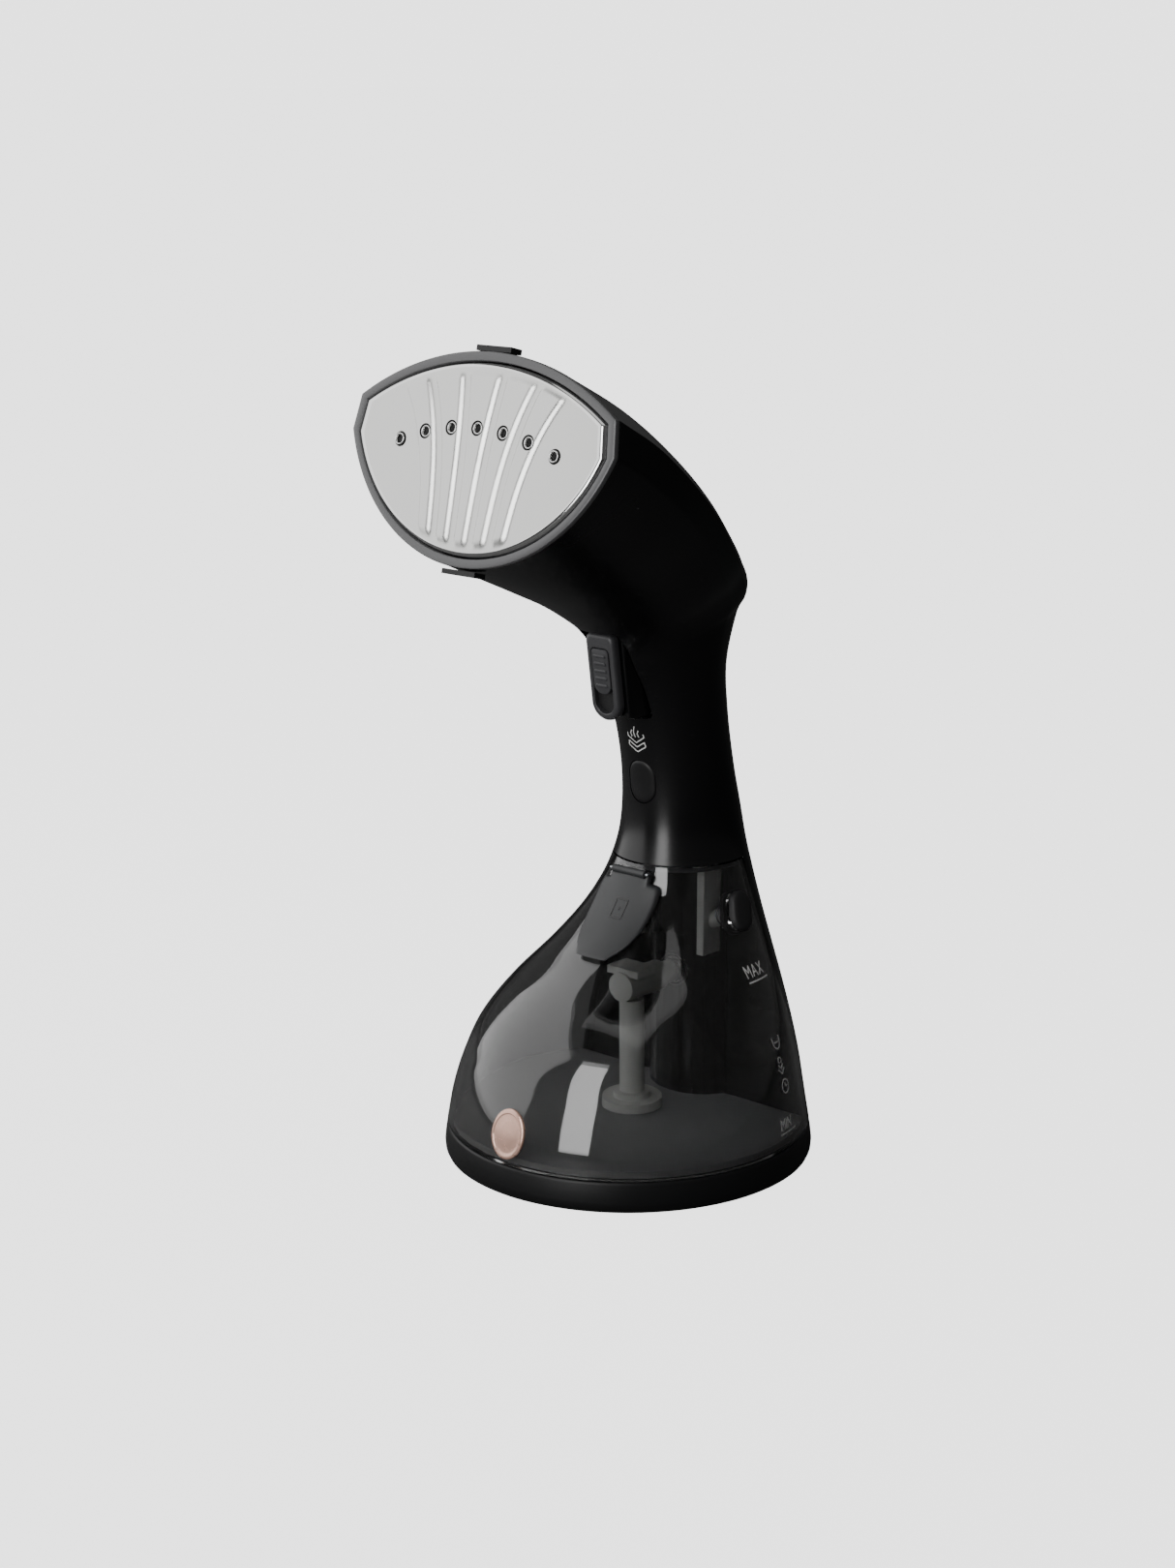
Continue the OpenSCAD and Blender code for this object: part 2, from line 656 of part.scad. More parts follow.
// elbow on top of the suction tube whose nose plugs into the column
module suction_connector() {
  color("#dcdcda") difference() {
    union() {
      translate([0, -4, port_height]) rotate([-90, 0, 0]) cylinder(r = 5.4, h = 20);
      translate([0, 15, port_height]) rotate([-90, 0, 0]) cylinder(r = 3.9, h = 12.5);
      translate([-7, -3, port_height + 4.2]) cube([14, 10, 2.6]);
    }
    translate([0, -2, port_height]) rotate([-90, 0, 0]) cylinder(r = 2, h = 40);
    translate([0, 2, port_height - 9]) cylinder(r = 2.6, h = 9);
  }
}

module filter_foot() {
  color("#cfd0ce") translate([0, 2, 0]) difference() {
    union() {
      translate([0, 0, 15.2]) cylinder(r = 10.6, h = 3.4);
      translate([0, 0, 18.6]) cylinder(r = 6.6, h = 1.8);
    }
    translate([0, 0, 14]) cylinder(r = 2.6, h = 8);
    for (a = [0:45:315]) rotate([0, 0, a]) translate([7.6, 0, 14]) cylinder(r = 1.3, h = 3);
  }
}

module release_button() {
  rotate(90) {
    translate([0, 0, -3.6]) linear_extrude(5.2) slot(9.2, 14.2);
    translate([0, 0, -5.2]) linear_extrude(1.6) slot(10.6, 15.6);
  }
}

module release_button_right() {
  color("#38393b") at_button() release_button();
}

module release_button_left() {
  color("#38393b") mirror([1, 0, 0]) at_button() release_button();
}

// pale arm behind each button, a plain stand-in: its shape is assumed and it has no hook
module latch_arm() {
  difference() {
    union() {
      translate([15.6, 18.6, 70]) cube([3, 9, 30.6]);
      at_button(-14) cylinder(r = 3, h = 8.75);
    }
    translate([10, 10, 60]) cube([5.6, 30, 50]);
  }
}

module latch_arm_right() {
  color("#d2d3d1") latch_arm();
}

module latch_arm_left() {
  color("#d2d3d1") mirror([1, 0, 0]) latch_arm();
}

module button_spring() {
  at_button(-9.6) coil(4, 0.26, 4.2, 3);
}

module button_spring_right() {
  color("#a7abb0") button_spring();
}

module button_spring_left() {
  color("#a7abb0") mirror([1, 0, 0]) button_spring();
}

// plain oval plaque on the front of the tank
module badge() {
  color("#d9ab98") {
    rows = [for (i = [0:12]) let(u = i/12) [14.4 + 16.6*u, max(7.3*sqrt(1 - pow(2*u - 1, 2)), 0.8)]];
    skin([for (f = rows) [for (i = [-3:3]) let(x = f[1]*i/3) [x, tank_front(x, f[0]) - 1.1, f[0]]]],
         [for (f = rows) [for (i = [-3:3]) let(x = f[1]*i/3) [x, tank_front(x, f[0]) - 0.05, f[0]]]], false);
  }
}

bezel_ring();
steam_plate();
top_clip();
bottom_clip();
steam_seal();
boiler_block();
heating_element();
heat_shield();
thermostat();
thermal_fuse();
boiler_inlet();
plate_screws();
front_housing();
rear_housing();
handle_floor();
trigger_pad();
trigger_block();
lock_slider();
trigger_pin();
trigger_spring();
microswitch();
lamp_lens();
lamp_led();
control_board();
board_parts();
water_hose();
wiring();
bay_wall();
pump_body();
pump_coil();
pump_mounts();
inlet_port();
port_seal();
cord_gland();
terminal_block();
housing_screws();
base_foot();
base_cover();
foot_pads();
base_screws();
tank_shell();
tank_floor();
tank_deck();
fill_cap();
cap_seal();
cap_hinge_pin();
suction_tube();
suction_connector();
filter_foot();
release_button_right();
release_button_left();
latch_arm_right();
latch_arm_left();
button_spring_right();
button_spring_left();
badge();
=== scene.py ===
# %% [markdown]
# # A handheld garment steamer
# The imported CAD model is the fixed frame: every surface below is placed by its numbers, in metres,
# and rides on one of its bodies, so that a trigger, a tank or a flap moves with the real joint.
# Shapes are worked out in millimetres, because that is how such an appliance is drawn, and are
# turned into metres once, when a mesh is made.

# %% The frame
import json
import math

import bpy
import numpy as np
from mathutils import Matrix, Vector


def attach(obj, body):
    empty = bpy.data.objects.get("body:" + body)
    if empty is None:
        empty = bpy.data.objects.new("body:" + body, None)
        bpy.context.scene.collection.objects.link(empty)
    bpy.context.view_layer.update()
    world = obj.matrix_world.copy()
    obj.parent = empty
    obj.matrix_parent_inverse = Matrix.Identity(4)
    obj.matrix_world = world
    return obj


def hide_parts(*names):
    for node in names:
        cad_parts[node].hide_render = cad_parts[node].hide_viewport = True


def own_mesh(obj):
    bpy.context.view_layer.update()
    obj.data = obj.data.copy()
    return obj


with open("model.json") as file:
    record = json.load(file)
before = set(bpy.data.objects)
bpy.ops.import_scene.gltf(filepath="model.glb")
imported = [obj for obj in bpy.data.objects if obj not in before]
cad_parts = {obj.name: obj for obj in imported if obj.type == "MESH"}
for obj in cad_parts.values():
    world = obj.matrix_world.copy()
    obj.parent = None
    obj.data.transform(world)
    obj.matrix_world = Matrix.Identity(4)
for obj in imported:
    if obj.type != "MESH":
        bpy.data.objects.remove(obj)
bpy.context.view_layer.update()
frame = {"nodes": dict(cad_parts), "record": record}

MM = 0.001

# %% [markdown]
# ## Colours and materials
# A designer names a colour as an sRGB hex value, and Blender's shaders want linear light, so one
# function turns one into the other. One more small function adds a node with its settings and
# its links. Each finish starts from what the real one is: black ABS from a polished mould is
# smooth with a faint orange-peel ripple, soft rubber is dull, and a pressed steel plate keeps the
# fine grain of its rolling.

# %% Colour and node helpers
def linear(code, alpha=1.0):
    """An sRGB hex value as linear light: below 0.04045 divided by 12.92, above it the 2.4 power."""
    parts = np.array([int(code[i:i + 2], 16) / 255 for i in (1, 3, 5)])
    light = np.where(parts <= 0.04045, parts / 12.92, ((parts + 0.055) / 1.055) ** 2.4)
    return (*light, alpha)


def add(tree, kind, links=None, **settings):
    """One node: settings that are its own properties are set, the rest are its input values."""
    node = tree.nodes.new("ShaderNode" + kind)
    for key, value in settings.items():
        if hasattr(node, key):
            setattr(node, key, value)
        else:
            node.inputs[key.replace("_", " ")].default_value = value
    for key, socket in (links or {}).items():
        tree.links.new(socket, node.inputs[key])
    return node


def finish_for(name, colour, roughness, metallic=0.0, ior=1.5, tone=0.0, tone_mm=20.0,
               grain=0.0, grain_mm=0.6, smear=0.0, stretch=(1, 1, 1), wear=0.0, gloss=0.5):
    """A moulded or metal finish from Object coordinates: colour drifts by tone over tone_mm,
    roughness by smear over the same distance, and grain is a bump of grain_mm pitch. Wear makes
    sharp edges paler, and gloss is the shader's specular level."""
    material = bpy.data.materials.new(name)
    material.use_nodes = True
    tree = material.node_tree
    tree.nodes.clear()
    out = add(tree, "OutputMaterial")
    shader = add(tree, "BsdfPrincipled", Metallic=metallic, Roughness=roughness)
    if not metallic:
        shader.inputs["IOR"].default_value = ior
        shader.inputs["Specular IOR Level"].default_value = gloss
    place = add(tree, "TexCoord").outputs["Object"]
    turned = add(tree, "Mapping", {"Vector": place}, Scale=stretch).outputs["Vector"]
    cloud = add(tree, "TexNoise", {"Vector": turned}, Scale=1 / (tone_mm * MM), Detail=3.0)
    base = linear(colour)
    dark, light = [tuple(min(1, c * (1 + s * tone)) for c in base[:3]) + (1,) for s in (-1, 1)]
    mixed = add(tree, "MixRGB", {"Fac": cloud.outputs["Fac"]}, Color1=dark, Color2=light)
    colour_out = mixed.outputs["Color"]
    if wear:
        edge = add(tree, "NewGeometry").outputs["Pointiness"]
        ramp = add(tree, "MapRange", {"Value": edge}, From_Min=0.52, From_Max=0.62, To_Min=0.0, To_Max=wear)
        pale = tuple(min(1, c * 2.2 + 0.02) for c in base[:3]) + (1,)
        worn = add(tree, "MixRGB", {"Fac": ramp.outputs["Result"], "Color1": colour_out}, Color2=pale)
        colour_out = worn.outputs["Color"]
    tree.links.new(colour_out, shader.inputs["Base Color"])
    if smear:
        spread = add(tree, "MapRange", {"Value": cloud.outputs["Fac"]}, From_Min=0.3, From_Max=0.7,
                     To_Min=roughness - smear, To_Max=roughness + smear)
        tree.links.new(spread.outputs["Result"], shader.inputs["Roughness"])
    if grain:
        fine = add(tree, "TexNoise", {"Vector": turned}, Scale=1 / (grain_mm * MM), Detail=2.0)
        bump = add(tree, "Bump", {"Height": fine.outputs["Fac"]}, Strength=grain, Distance=0.05 * MM)
        tree.links.new(bump.outputs["Normal"], shader.inputs["Normal"])
    tree.links.new(shader.outputs["BSDF"], out.inputs["Surface"])
    return material


print("black as linear light:", [round(c, 4) for c in linear("#0d0d0e")[:3]])

# %% [markdown]
# ### The finishes of this appliance
# Everything moulded is ABS or polycarbonate (IOR 1.5 to 1.58). The housing is black with a satin
# gloss; the trigger and flap have a fine spark-eroded texture, which makes them look a shade
# greyer because it scatters light. The plate is stainless steel, brushed too finely to see as
# lines, so its grain is drawn at 0.5 mm across to show at all.

# %% Finishes
ABS = {
    "housing": finish_for("black_abs_polished", "#0d0d0e", 0.25, gloss=0.42, tone=0.12, tone_mm=45,
                          grain=0.05, grain_mm=2.6, smear=0.03, wear=0.10),
    "textured": finish_for("black_abs_textured", "#111112", 0.44, gloss=0.34, tone=0.10, tone_mm=25,
                           grain=0.30, grain_mm=0.5, smear=0.04, wear=0.12),
    "trigger": finish_for("grey_abs_textured", "#3a3a3c", 0.42, tone=0.08, tone_mm=12, grain=0.35,
                          grain_mm=0.45, smear=0.05, wear=0.15),
    "gloss": finish_for("black_abs_mirror_moulded", "#0b0b0c", 0.12, tone=0.1, tone_mm=15, grain=0.04,
                        grain_mm=1.5, smear=0.02),
    "flap": finish_for("charcoal_abs_textured", "#2e2f30", 0.45, tone=0.08, tone_mm=16, grain=0.35,
                       grain_mm=0.5, smear=0.05, wear=0.14),
    "bezel": finish_for("mid_grey_abs_satin", "#565657", 0.36, tone=0.06, tone_mm=14, grain=0.2,
                        grain_mm=0.5, smear=0.04, wear=0.05),
    # this matt black also serves as painted shade, in cups under the plate's holes and on the floor of the
    # slider's recess
    "inner": finish_for("black_abs_inner_matt", "#121213", 0.6, tone=0.1, tone_mm=15, grain=0.2),
    "pale": finish_for("pale_grey_pp_moulded", "#cfd0cd", 0.42, tone=0.05, tone_mm=10, grain=0.12),
    "floor": finish_for("grey_abs_tank_floor", "#8e8e8e", 0.5, tone=0.06, tone_mm=18, grain=0.15),
}
RUBBER = finish_for("soft_touch_tpe_rubber", "#1d1d1e", 0.58, ior=1.52, tone=0.1, tone_mm=9, grain=0.4,
                    grain_mm=0.35, smear=0.05)
STEEL = finish_for("stainless_steel_satin_plate", "#cfcfcd", 0.30, metallic=1.0, tone=0.05, tone_mm=12,
                   grain=0.10, grain_mm=0.5, smear=0.05, stretch=(1, 0.25, 0.25))
CHROME = finish_for("stainless_steel_bright_rim", "#dededd", 0.10, metallic=1.0, tone=0.03,
                    tone_mm=10, grain=0.02)
ROSE = finish_for("rose_gold_plated_badge", "#dcb3a2", 0.26, metallic=0.55, tone=0.06, tone_mm=4,
                  grain=0.15, grain_mm=0.3, smear=0.05)
PRINT = finish_for("white_pad_print_ink", "#e9e9e7", 0.5, tone=0.05, tone_mm=3, grain=0.1)
print("finishes:", len(bpy.data.materials))

# %% [markdown]
# ### Smoke-tinted clear plastic
# The tank is injection-moulded polycarbonate or SAN with a little black dye, polished inside and
# out. It is a solid wall with an inner and an outer face, so the light bends twice as in the real
# one. Its IOR is about 1.5 and the dye darkens whatever is seen through it.

# %% Clear finishes
def clear_finish(name, colour, roughness, ior):
    """A dyed clear plastic: full transmission, one colour, and a faint moulding ripple."""
    material = bpy.data.materials.new(name)
    material.use_nodes = True
    tree = material.node_tree
    shader = tree.nodes["Principled BSDF"]
    shader.inputs["Base Color"].default_value = linear(colour)
    shader.inputs["Roughness"].default_value = roughness
    shader.inputs["IOR"].default_value = ior
    shader.inputs["Transmission Weight"].default_value = 1.0
    place = add(tree, "TexCoord").outputs["Object"]
    ripple = add(tree, "TexNoise", {"Vector": place}, Scale=1 / (30 * MM), Detail=1.0)
    bump = add(tree, "Bump", {"Height": ripple.outputs["Fac"]}, Strength=0.08, Distance=0.2 * MM)
    tree.links.new(bump.outputs["Normal"], shader.inputs["Normal"])
    return material


SMOKE = clear_finish("smoke_polycarbonate_clear", "#cbcbcb", 0.03, 1.5)
print("clear finish made:", SMOKE.name)

# %% [markdown]
# ## Meshes from grids of points
# Nearly every moulded surface here is rows of points: a section carried along a path. One function
# joins such a grid with four-sided faces. Its ends can be closed with a fan to a middle point, and
# a closed shape is turned so that its faces look outwards, which Solidify and glass both need.

# %% Grid to mesh
def loft(grid, around=True, caps=(True, True), loop=False, flip=False):
    """Rows of points joined row to row; around joins the last column to the first, loop the last
    row to the first, and caps closes an end with triangles to the mean of its row."""
    grid = np.asarray(grid, float)
    rows, cols = grid.shape[:2]
    points = grid.reshape(-1, 3)
    r, c = np.meshgrid(np.arange(rows if loop else rows - 1),
                       np.arange(cols if around else cols - 1), indexing="ij")
    r2, c2 = (r + 1) % rows, (c + 1) % cols
    quads = np.stack([r * cols + c, r * cols + c2, r2 * cols + c2, r2 * cols + c], -1).reshape(-1, 4)
    tris = np.zeros((0, 3), int)
    for end, (row, wanted) in enumerate(zip((0, rows - 1), caps)):
        if not wanted or loop or not around:
            continue
        rim = row * cols + np.arange(cols)
        middle = np.full(cols, len(points))
        points = np.vstack([points, grid[row].mean(0)])
        pair = [np.roll(rim, -1), rim] if end == 0 else [rim, np.roll(rim, -1)]
        tris = np.vstack([tris, np.stack([*pair, middle], -1)])
    if flip:
        quads, tris = quads[:, ::-1], tris[:, ::-1]
    return points, quads, tris


def volume(points, quads, tris):
    """Signed volume: a sixth of the triple product of each triangle's corners, added up."""
    faces = np.vstack([quads[:, [0, 1, 2]], quads[:, [0, 2, 3]], tris])
    a, b, c = (points[faces[:, k]] for k in range(3))
    return float(np.einsum("ij,ij->i", a, np.cross(b, c)).sum() / 6)


def outwards(shape):
    """A closed shape with its faces turned outwards, which is when its volume is positive."""
    points, quads, tris = shape
    return shape if volume(*shape) > 0 else (points, quads[:, ::-1], tris[:, ::-1])


def piece(name, shapes, finish, body, replaces=(), angle=35):
    """One object from shapes in millimetres, riding on a body, with edges sharper than angle
    kept crisp and everything else shaded smooth."""
    points, faces, start = [], [], 0
    for p, quads, tris in shapes:
        points.append(p)
        faces += (quads + start).tolist() + (tris + start).tolist()
        start += len(p)
    mesh = bpy.data.meshes.new(name)
    mesh.from_pydata((np.vstack(points) * MM).tolist(), [], faces)
    mesh.validate()
    made = bpy.data.objects.new(name, mesh)
    bpy.context.scene.collection.objects.link(made)
    mesh.materials.append(finish)
    crisp(mesh, angle)
    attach(made, body)
    if replaces:
        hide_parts(*replaces)
    print(f"{name}: {len(mesh.polygons)} faces on {body}")
    return made


def crisp(mesh, angle):
    """Smooth shading, but not across edges that turn by more than angle degrees."""
    mesh.shade_smooth()
    mesh.set_sharp_from_angle(angle=math.radians(angle))


def settle(made, angle=35):
    """Writes an object's modifiers into its mesh, so that the export meets a plain mesh."""
    bpy.context.view_layer.update()
    seen = made.evaluated_get(bpy.context.evaluated_depsgraph_get())
    mesh = bpy.data.meshes.new_from_object(seen)
    made.modifiers.clear()
    old, made.data = made.data, mesh
    mesh.name = old.name
    bpy.data.meshes.remove(old)
    crisp(mesh, angle)
    return made


def walled(made, thick, angle=35):
    """A sheet given a wall of thick millimetres behind its face."""
    wall = made.modifiers.new("wall", "SOLIDIFY")
    wall.thickness, wall.offset, wall.use_even_offset = thick * MM, -1, False
    return settle(made, angle)


def cut(made, cutters, angle=35):
    """Takes closed cutter shapes, in millimetres, out of an object."""
    for k, shape in enumerate(cutters):
        mesh = bpy.data.meshes.new(f"cutter_{k}")
        points, quads, tris = outwards(shape)
        mesh.from_pydata((points * MM).tolist(), [], quads.tolist() + tris.tolist())
        tool = bpy.data.objects.new(mesh.name, mesh)
        bpy.context.scene.collection.objects.link(tool)
        hole = made.modifiers.new("hole", "BOOLEAN")
        hole.operation, hole.solver, hole.object = "DIFFERENCE", "EXACT", tool
        settle(made, angle)
        bpy.data.objects.remove(tool)
        bpy.data.meshes.remove(mesh)
    return made


print("mesh helpers ready")

# %% [markdown]
# ## The body's skin
# The side view of the steamer is a row of cross sections that swell, narrow and lean forwards into
# the head. Each row gives the front and the back point, the half width, and how much of the
# section has turned from an ellipse into the shield shape of the plate. A smooth curve through
# the rows gives any section in between.

# %% Sections of the body
# front y and z, back y and z, half width, share of the shield shape, all but the last in mm
OUTLINE = np.array([
    [-64.0, 12.0, 64.0, 12.0, 64.0, 0], [-61.5, 24.0, 62.0, 24.0, 62.0, 0],
    [-57.2, 36.0, 60.8, 36.0, 59.0, 0], [-51.0, 48.0, 59.5, 48.0, 54.5, 0],
    [-39.0, 60.0, 58.4, 60.0, 47.7, 0], [-22.0, 72.0, 57.2, 72.0, 39.4, 0],
    [-8.3, 84.0, 55.7, 84.0, 32.1, 0], [0.8, 96.0, 53.9, 96.0, 26.6, 0],
    [5.6, 108.0, 51.8, 108.0, 22.8, 0], [7.2, 120.0, 49.8, 120.0, 20.8, 0],
    [6.5, 135.0, 46.0, 137.0, 19.6, 0], [3.5, 150.0, 42.5, 157.0, 19.6, 0],
    [-2.0, 165.0, 41.0, 176.0, 21.0, 0.1], [-8.5, 175.5, 46.5, 196.0, 23.4, 0.3],
    [-11.0, 180.0, 50.8, 203.0, 25.2, 0.4], [-14.0, 184.3, 45.0, 211.0, 28.0, 0.5],
    [-19.0, 189.0, 35.0, 220.5, 32.5, 0.65], [-33.0, 197.4, 15.5, 238.5, 39.0, 0.8],
    [-48.0, 204.3, -7.5, 255.5, 45.4, 0.9], [-64.5, 211.5, -34.5, 272.0, 51.5, 1],
    [-80.1, 218.5, -63.1, 285.1, 57.0, 1]])
LAST = len(OUTLINE) - 1
FOOT_TOP, LEVEL_PITCH, TANK_TOP, TANK_BACK = 12.0, 12.0, 104.0, 35.0
WALL, TANK_WALL, COLUMN_Y, COLUMN_R = 2.4, 2.0, 41.0, 16.5
HEAD_W, HEAD_H, LEAN = 57.0, 34.4, math.radians(14.3)
SEAM, SEAM_SETTLES = 27.0, 13.0
# the head outline's two corners on each side: their heights, how far the upper one is drawn in, and
# the height of the straight side between them
CORNER_TOP, CORNER_LOW, CORNER_IN, SIDE_TALL = 17.0, 5.45, 1.7, 11.55
TOP_LEVEL = (TANK_TOP + 0.1 - FOOT_TOP) / LEVEL_PITCH


def level(s):
    """A section between rows: the cubic through four neighbours that keeps their slopes."""
    s = np.asarray(s, float)
    padded = np.vstack([2 * OUTLINE[0] - OUTLINE[1], OUTLINE, 2 * OUTLINE[-1] - OUTLINE[-2]])
    k = np.clip(np.floor(s).astype(int), 0, LAST - 1)
    u = (s - k)[..., None]
    a, b, c, d = (padded[k + i] for i in range(4))
    return 0.5 * (2 * b + (c - a) * u + (2 * a - 5 * b + 4 * c - d) * u ** 2
                  + (3 * b - a - 3 * c + d) * u ** 3)


def level_at(z):
    """The level number at a height in the upright lower part, where rows are evenly spaced."""
    return (np.asarray(z, float) - FOOT_TOP) / LEVEL_PITCH


def shield_gain(t):
    """Shield against ellipse along a ray: the nearest of a shallow upper arc, a deep lower arc
    and a straight side that leans inwards, over the ellipse's own reach."""
    t = np.radians(t)
    x, y = HEAD_W * np.cos(t), HEAD_H * np.sin(t)
    a = np.arctan2(y, x)
    rise, drop = HEAD_H - CORNER_TOP, HEAD_H + CORNER_LOW
    top_r = ((HEAD_W - CORNER_IN) ** 2 + rise ** 2) / (2 * rise)
    low_r = (HEAD_W ** 2 + drop ** 2) / (2 * drop)

    def reach(c, r):
        return c * np.sin(a) + np.sqrt(r * r - (c * np.cos(a)) ** 2)

    lean = SIDE_TALL * np.abs(np.cos(a)) + CORNER_IN * np.sin(a)
    side = np.where(lean > 0.01, (SIDE_TALL * HEAD_W + CORNER_IN * CORNER_LOW)
                    / np.maximum(lean, 0.01), 999)
    return np.minimum(np.minimum(reach(HEAD_H - top_r, top_r), reach(low_r - HEAD_H, low_r)),
                      side) / np.hypot(x, y)


def skin(s, t, inset=0.0):
    """A point of the skin at level s and t degrees round it: an ellipse on the line from front to
    back, swollen by the shield gain in its share, and moved inwards by inset."""
    s, t = np.broadcast_arrays(np.asarray(s, float), np.asarray(t, float))
    p = level(s)
    ly, lz = (p[..., 2] - p[..., 0]) / 2, (p[..., 3] - p[..., 1]) / 2
    half = np.hypot(ly, lz)
    gain = 1 + (shield_gain(t) - 1) * p[..., 5]
    v = (half - inset) * gain * np.sin(np.radians(t))
    return np.stack([(p[..., 4] - inset) * gain * np.cos(np.radians(t)),
                     (p[..., 0] + p[..., 2]) / 2 + ly / half * v,
                     (p[..., 1] + p[..., 3]) / 2 + lz / half * v], -1)


def cut_angle(s, y, inset):
    """How far round a section its skin crosses the upright plane at y, in degrees."""
    p = level(s)
    middle, half = (p[..., 0] + p[..., 2]) / 2, (p[..., 2] - p[..., 0]) / 2 - inset
    return np.degrees(np.arcsin((y - middle) / half))


def seam(s, inset=0.0):
    """Where front and rear shells meet: on the tank's back plane low down, at 27 degrees in the
    head, and evenly between them on the handle."""
    s = np.asarray(s, float)
    low = cut_angle(np.minimum(s, TOP_LEVEL), TANK_BACK, inset)
    u = np.clip((s - TOP_LEVEL) / (SEAM_SETTLES - TOP_LEVEL), 0, 1)
    return low + (SEAM - low) * u


print("head section half width:", round(float(level(20.0)[4]), 2), "mm")

# %% [markdown]
# ## Places on the body
# Three leaning planes carry the small parts: the steam plate, the face of the trigger and the
# release buttons on the tank's flanks. Each is a point and three directions.

# %% Local planes
def plane(origin, across, up, out):
    """A function that takes local points x, y, z to origin + x*across + y*up + z*out."""
    o, frame_axes = np.array(origin, float), np.array([across, up, out], float)
    return lambda p: o + np.asarray(p, float) @ frame_axes


at_plate = plane((0, -73.55, 252.3), (1, 0, 0), (0, math.sin(LEAN), math.cos(LEAN)),
                 (0, -math.cos(LEAN), math.sin(LEAN)))
TRIGGER_TILT, FLANK_SLOPE, BUTTON_TURN = math.radians(98), math.radians(65.4), math.radians(-22)
at_trigger = plane((0, -13.6, 172.4), (1, 0, 0), (0, math.cos(TRIGGER_TILT), math.sin(TRIGGER_TILT)),
                   (0, -math.sin(TRIGGER_TILT), math.cos(TRIGGER_TILT)))


def button_plane(side):
    """The flank plane on one side: local x runs down the slope, turned back by 22 degrees."""
    c, s = math.cos(FLANK_SLOPE), math.sin(FLANK_SLOPE)
    ct, st = math.cos(BUTTON_TURN), math.sin(BUTTON_TURN)
    down, along, out = np.array([c, 0, -s]), np.array([0, 1, 0]), np.array([s, 0, c])
    flip = np.array([side, 1, 1])
    return plane((30.4 * side, 24.4, 87.8), (ct * down + st * along) * flip,
                 (-st * down + ct * along) * flip, out * flip)


def lengths(path):
    """How far along a drawn line each of its points is."""
    return np.concatenate([[0], np.cumsum(np.hypot(*np.diff(path, axis=0).T))])


def stepped(path, count, endpoint=False):
    """A drawn line as count points, evenly spaced by length."""
    run = lengths(path)
    even = np.linspace(0, run[-1], count, endpoint=endpoint)
    return np.stack([np.interp(even, run, path[:, k]) for k in (0, 1)], -1)


def pill(width, length, low, high, count=96):
    """A rounded rectangle, long way up, with its own corner radius below and above. Its corners
    and sides are laid end to end, then stepped evenly by length."""
    x_low, y_low, x_high, y_high = width / 2 - low, length / 2 - low, width / 2 - high, length / 2 - high
    corners = [(x_low, -y_low, low, -90), (x_high, y_high, high, 0), (-x_high, y_high, high, 90),
               (-x_low, -y_low, low, 180)]
    turn = np.radians(np.arange(0, 91, 6))
    path = np.vstack([np.stack([x + r * np.cos(turn + math.radians(a)),
                                y + r * np.sin(turn + math.radians(a))], -1) for x, y, r, a in corners])
    return stepped(np.vstack([path, path[:1]]), count)


def lying(width, length, corner):
    """A rounded rectangle turned a quarter, for the buttons and the holes they sit in."""
    return pill(width, length, corner, corner)[:, ::-1] * (-1, 1)


def flat(ring, z):
    """A ring of x, y points lifted to height z."""
    return np.column_stack([ring, np.full(len(ring), float(z))])


print("trigger plane faces:", np.round(at_trigger((0, 0, 1)) - at_trigger((0, 0, 0)), 3))

# %% [markdown]
# ## The two housing shells
# The black body is two injection-moulded shells that meet along a crease. Each one is a grid: the
# section level runs one way and the angle round it the other, so the crease is simply where the
# angle starts and stops. Solidify gives the sheet its 2.4 mm wall. The trigger's slot and the oval
# window are then cut out of the finished wall, as a slide in the mould would leave them.

# %% Front shell
def place_bar(ring, low, high, to_body):
    """A straight bar: one ring of x, y points carried from height low to height high."""
    return loft([to_body(flat(ring, z)) for z in (low, high)])


def facing_front(middle_z):
    """Local x, y, z to the body's x, height above middle_z, and -y, so a bar runs along Y."""
    return lambda p: np.column_stack([p[:, 0], -p[:, 2], middle_z + p[:, 1]])


def shell_grid(levels, start, span, columns):
    """A sheet of the skin: each level from its own start angle over its own span of degrees."""
    u = np.linspace(0, 1, columns)
    return skin(levels[:, None], start[:, None] + span[:, None] * u)


TRIGGER_SLOT = place_bar(pill(16.6, 32.4, 2.0, 1.0), -6, 40, facing_front(172.4))
LAMP_SLOT = place_bar(pill(12, 15.6, 5.95, 5.95), -14, 0, facing_front(132.4))
levels = np.linspace(TOP_LEVEL, LAST, 131)
edge = seam(levels)
front = piece("front_shell", [loft(shell_grid(levels, 180 - edge, 180 + 2 * edge, 157), around=False)],
              ABS["housing"], "steamer", ["front_housing"])
walled(front, WALL)
cut(front, [TRIGGER_SLOT, LAMP_SLOT])
print("front shell faces after cutting:", len(front.data.polygons))

# %% [markdown]
# The rear shell is the spine of the steamer: it runs from the foot, up behind the tank, to the top
# of the head. Its three screws sit in round wells, and the cable gland has a hole of its own.

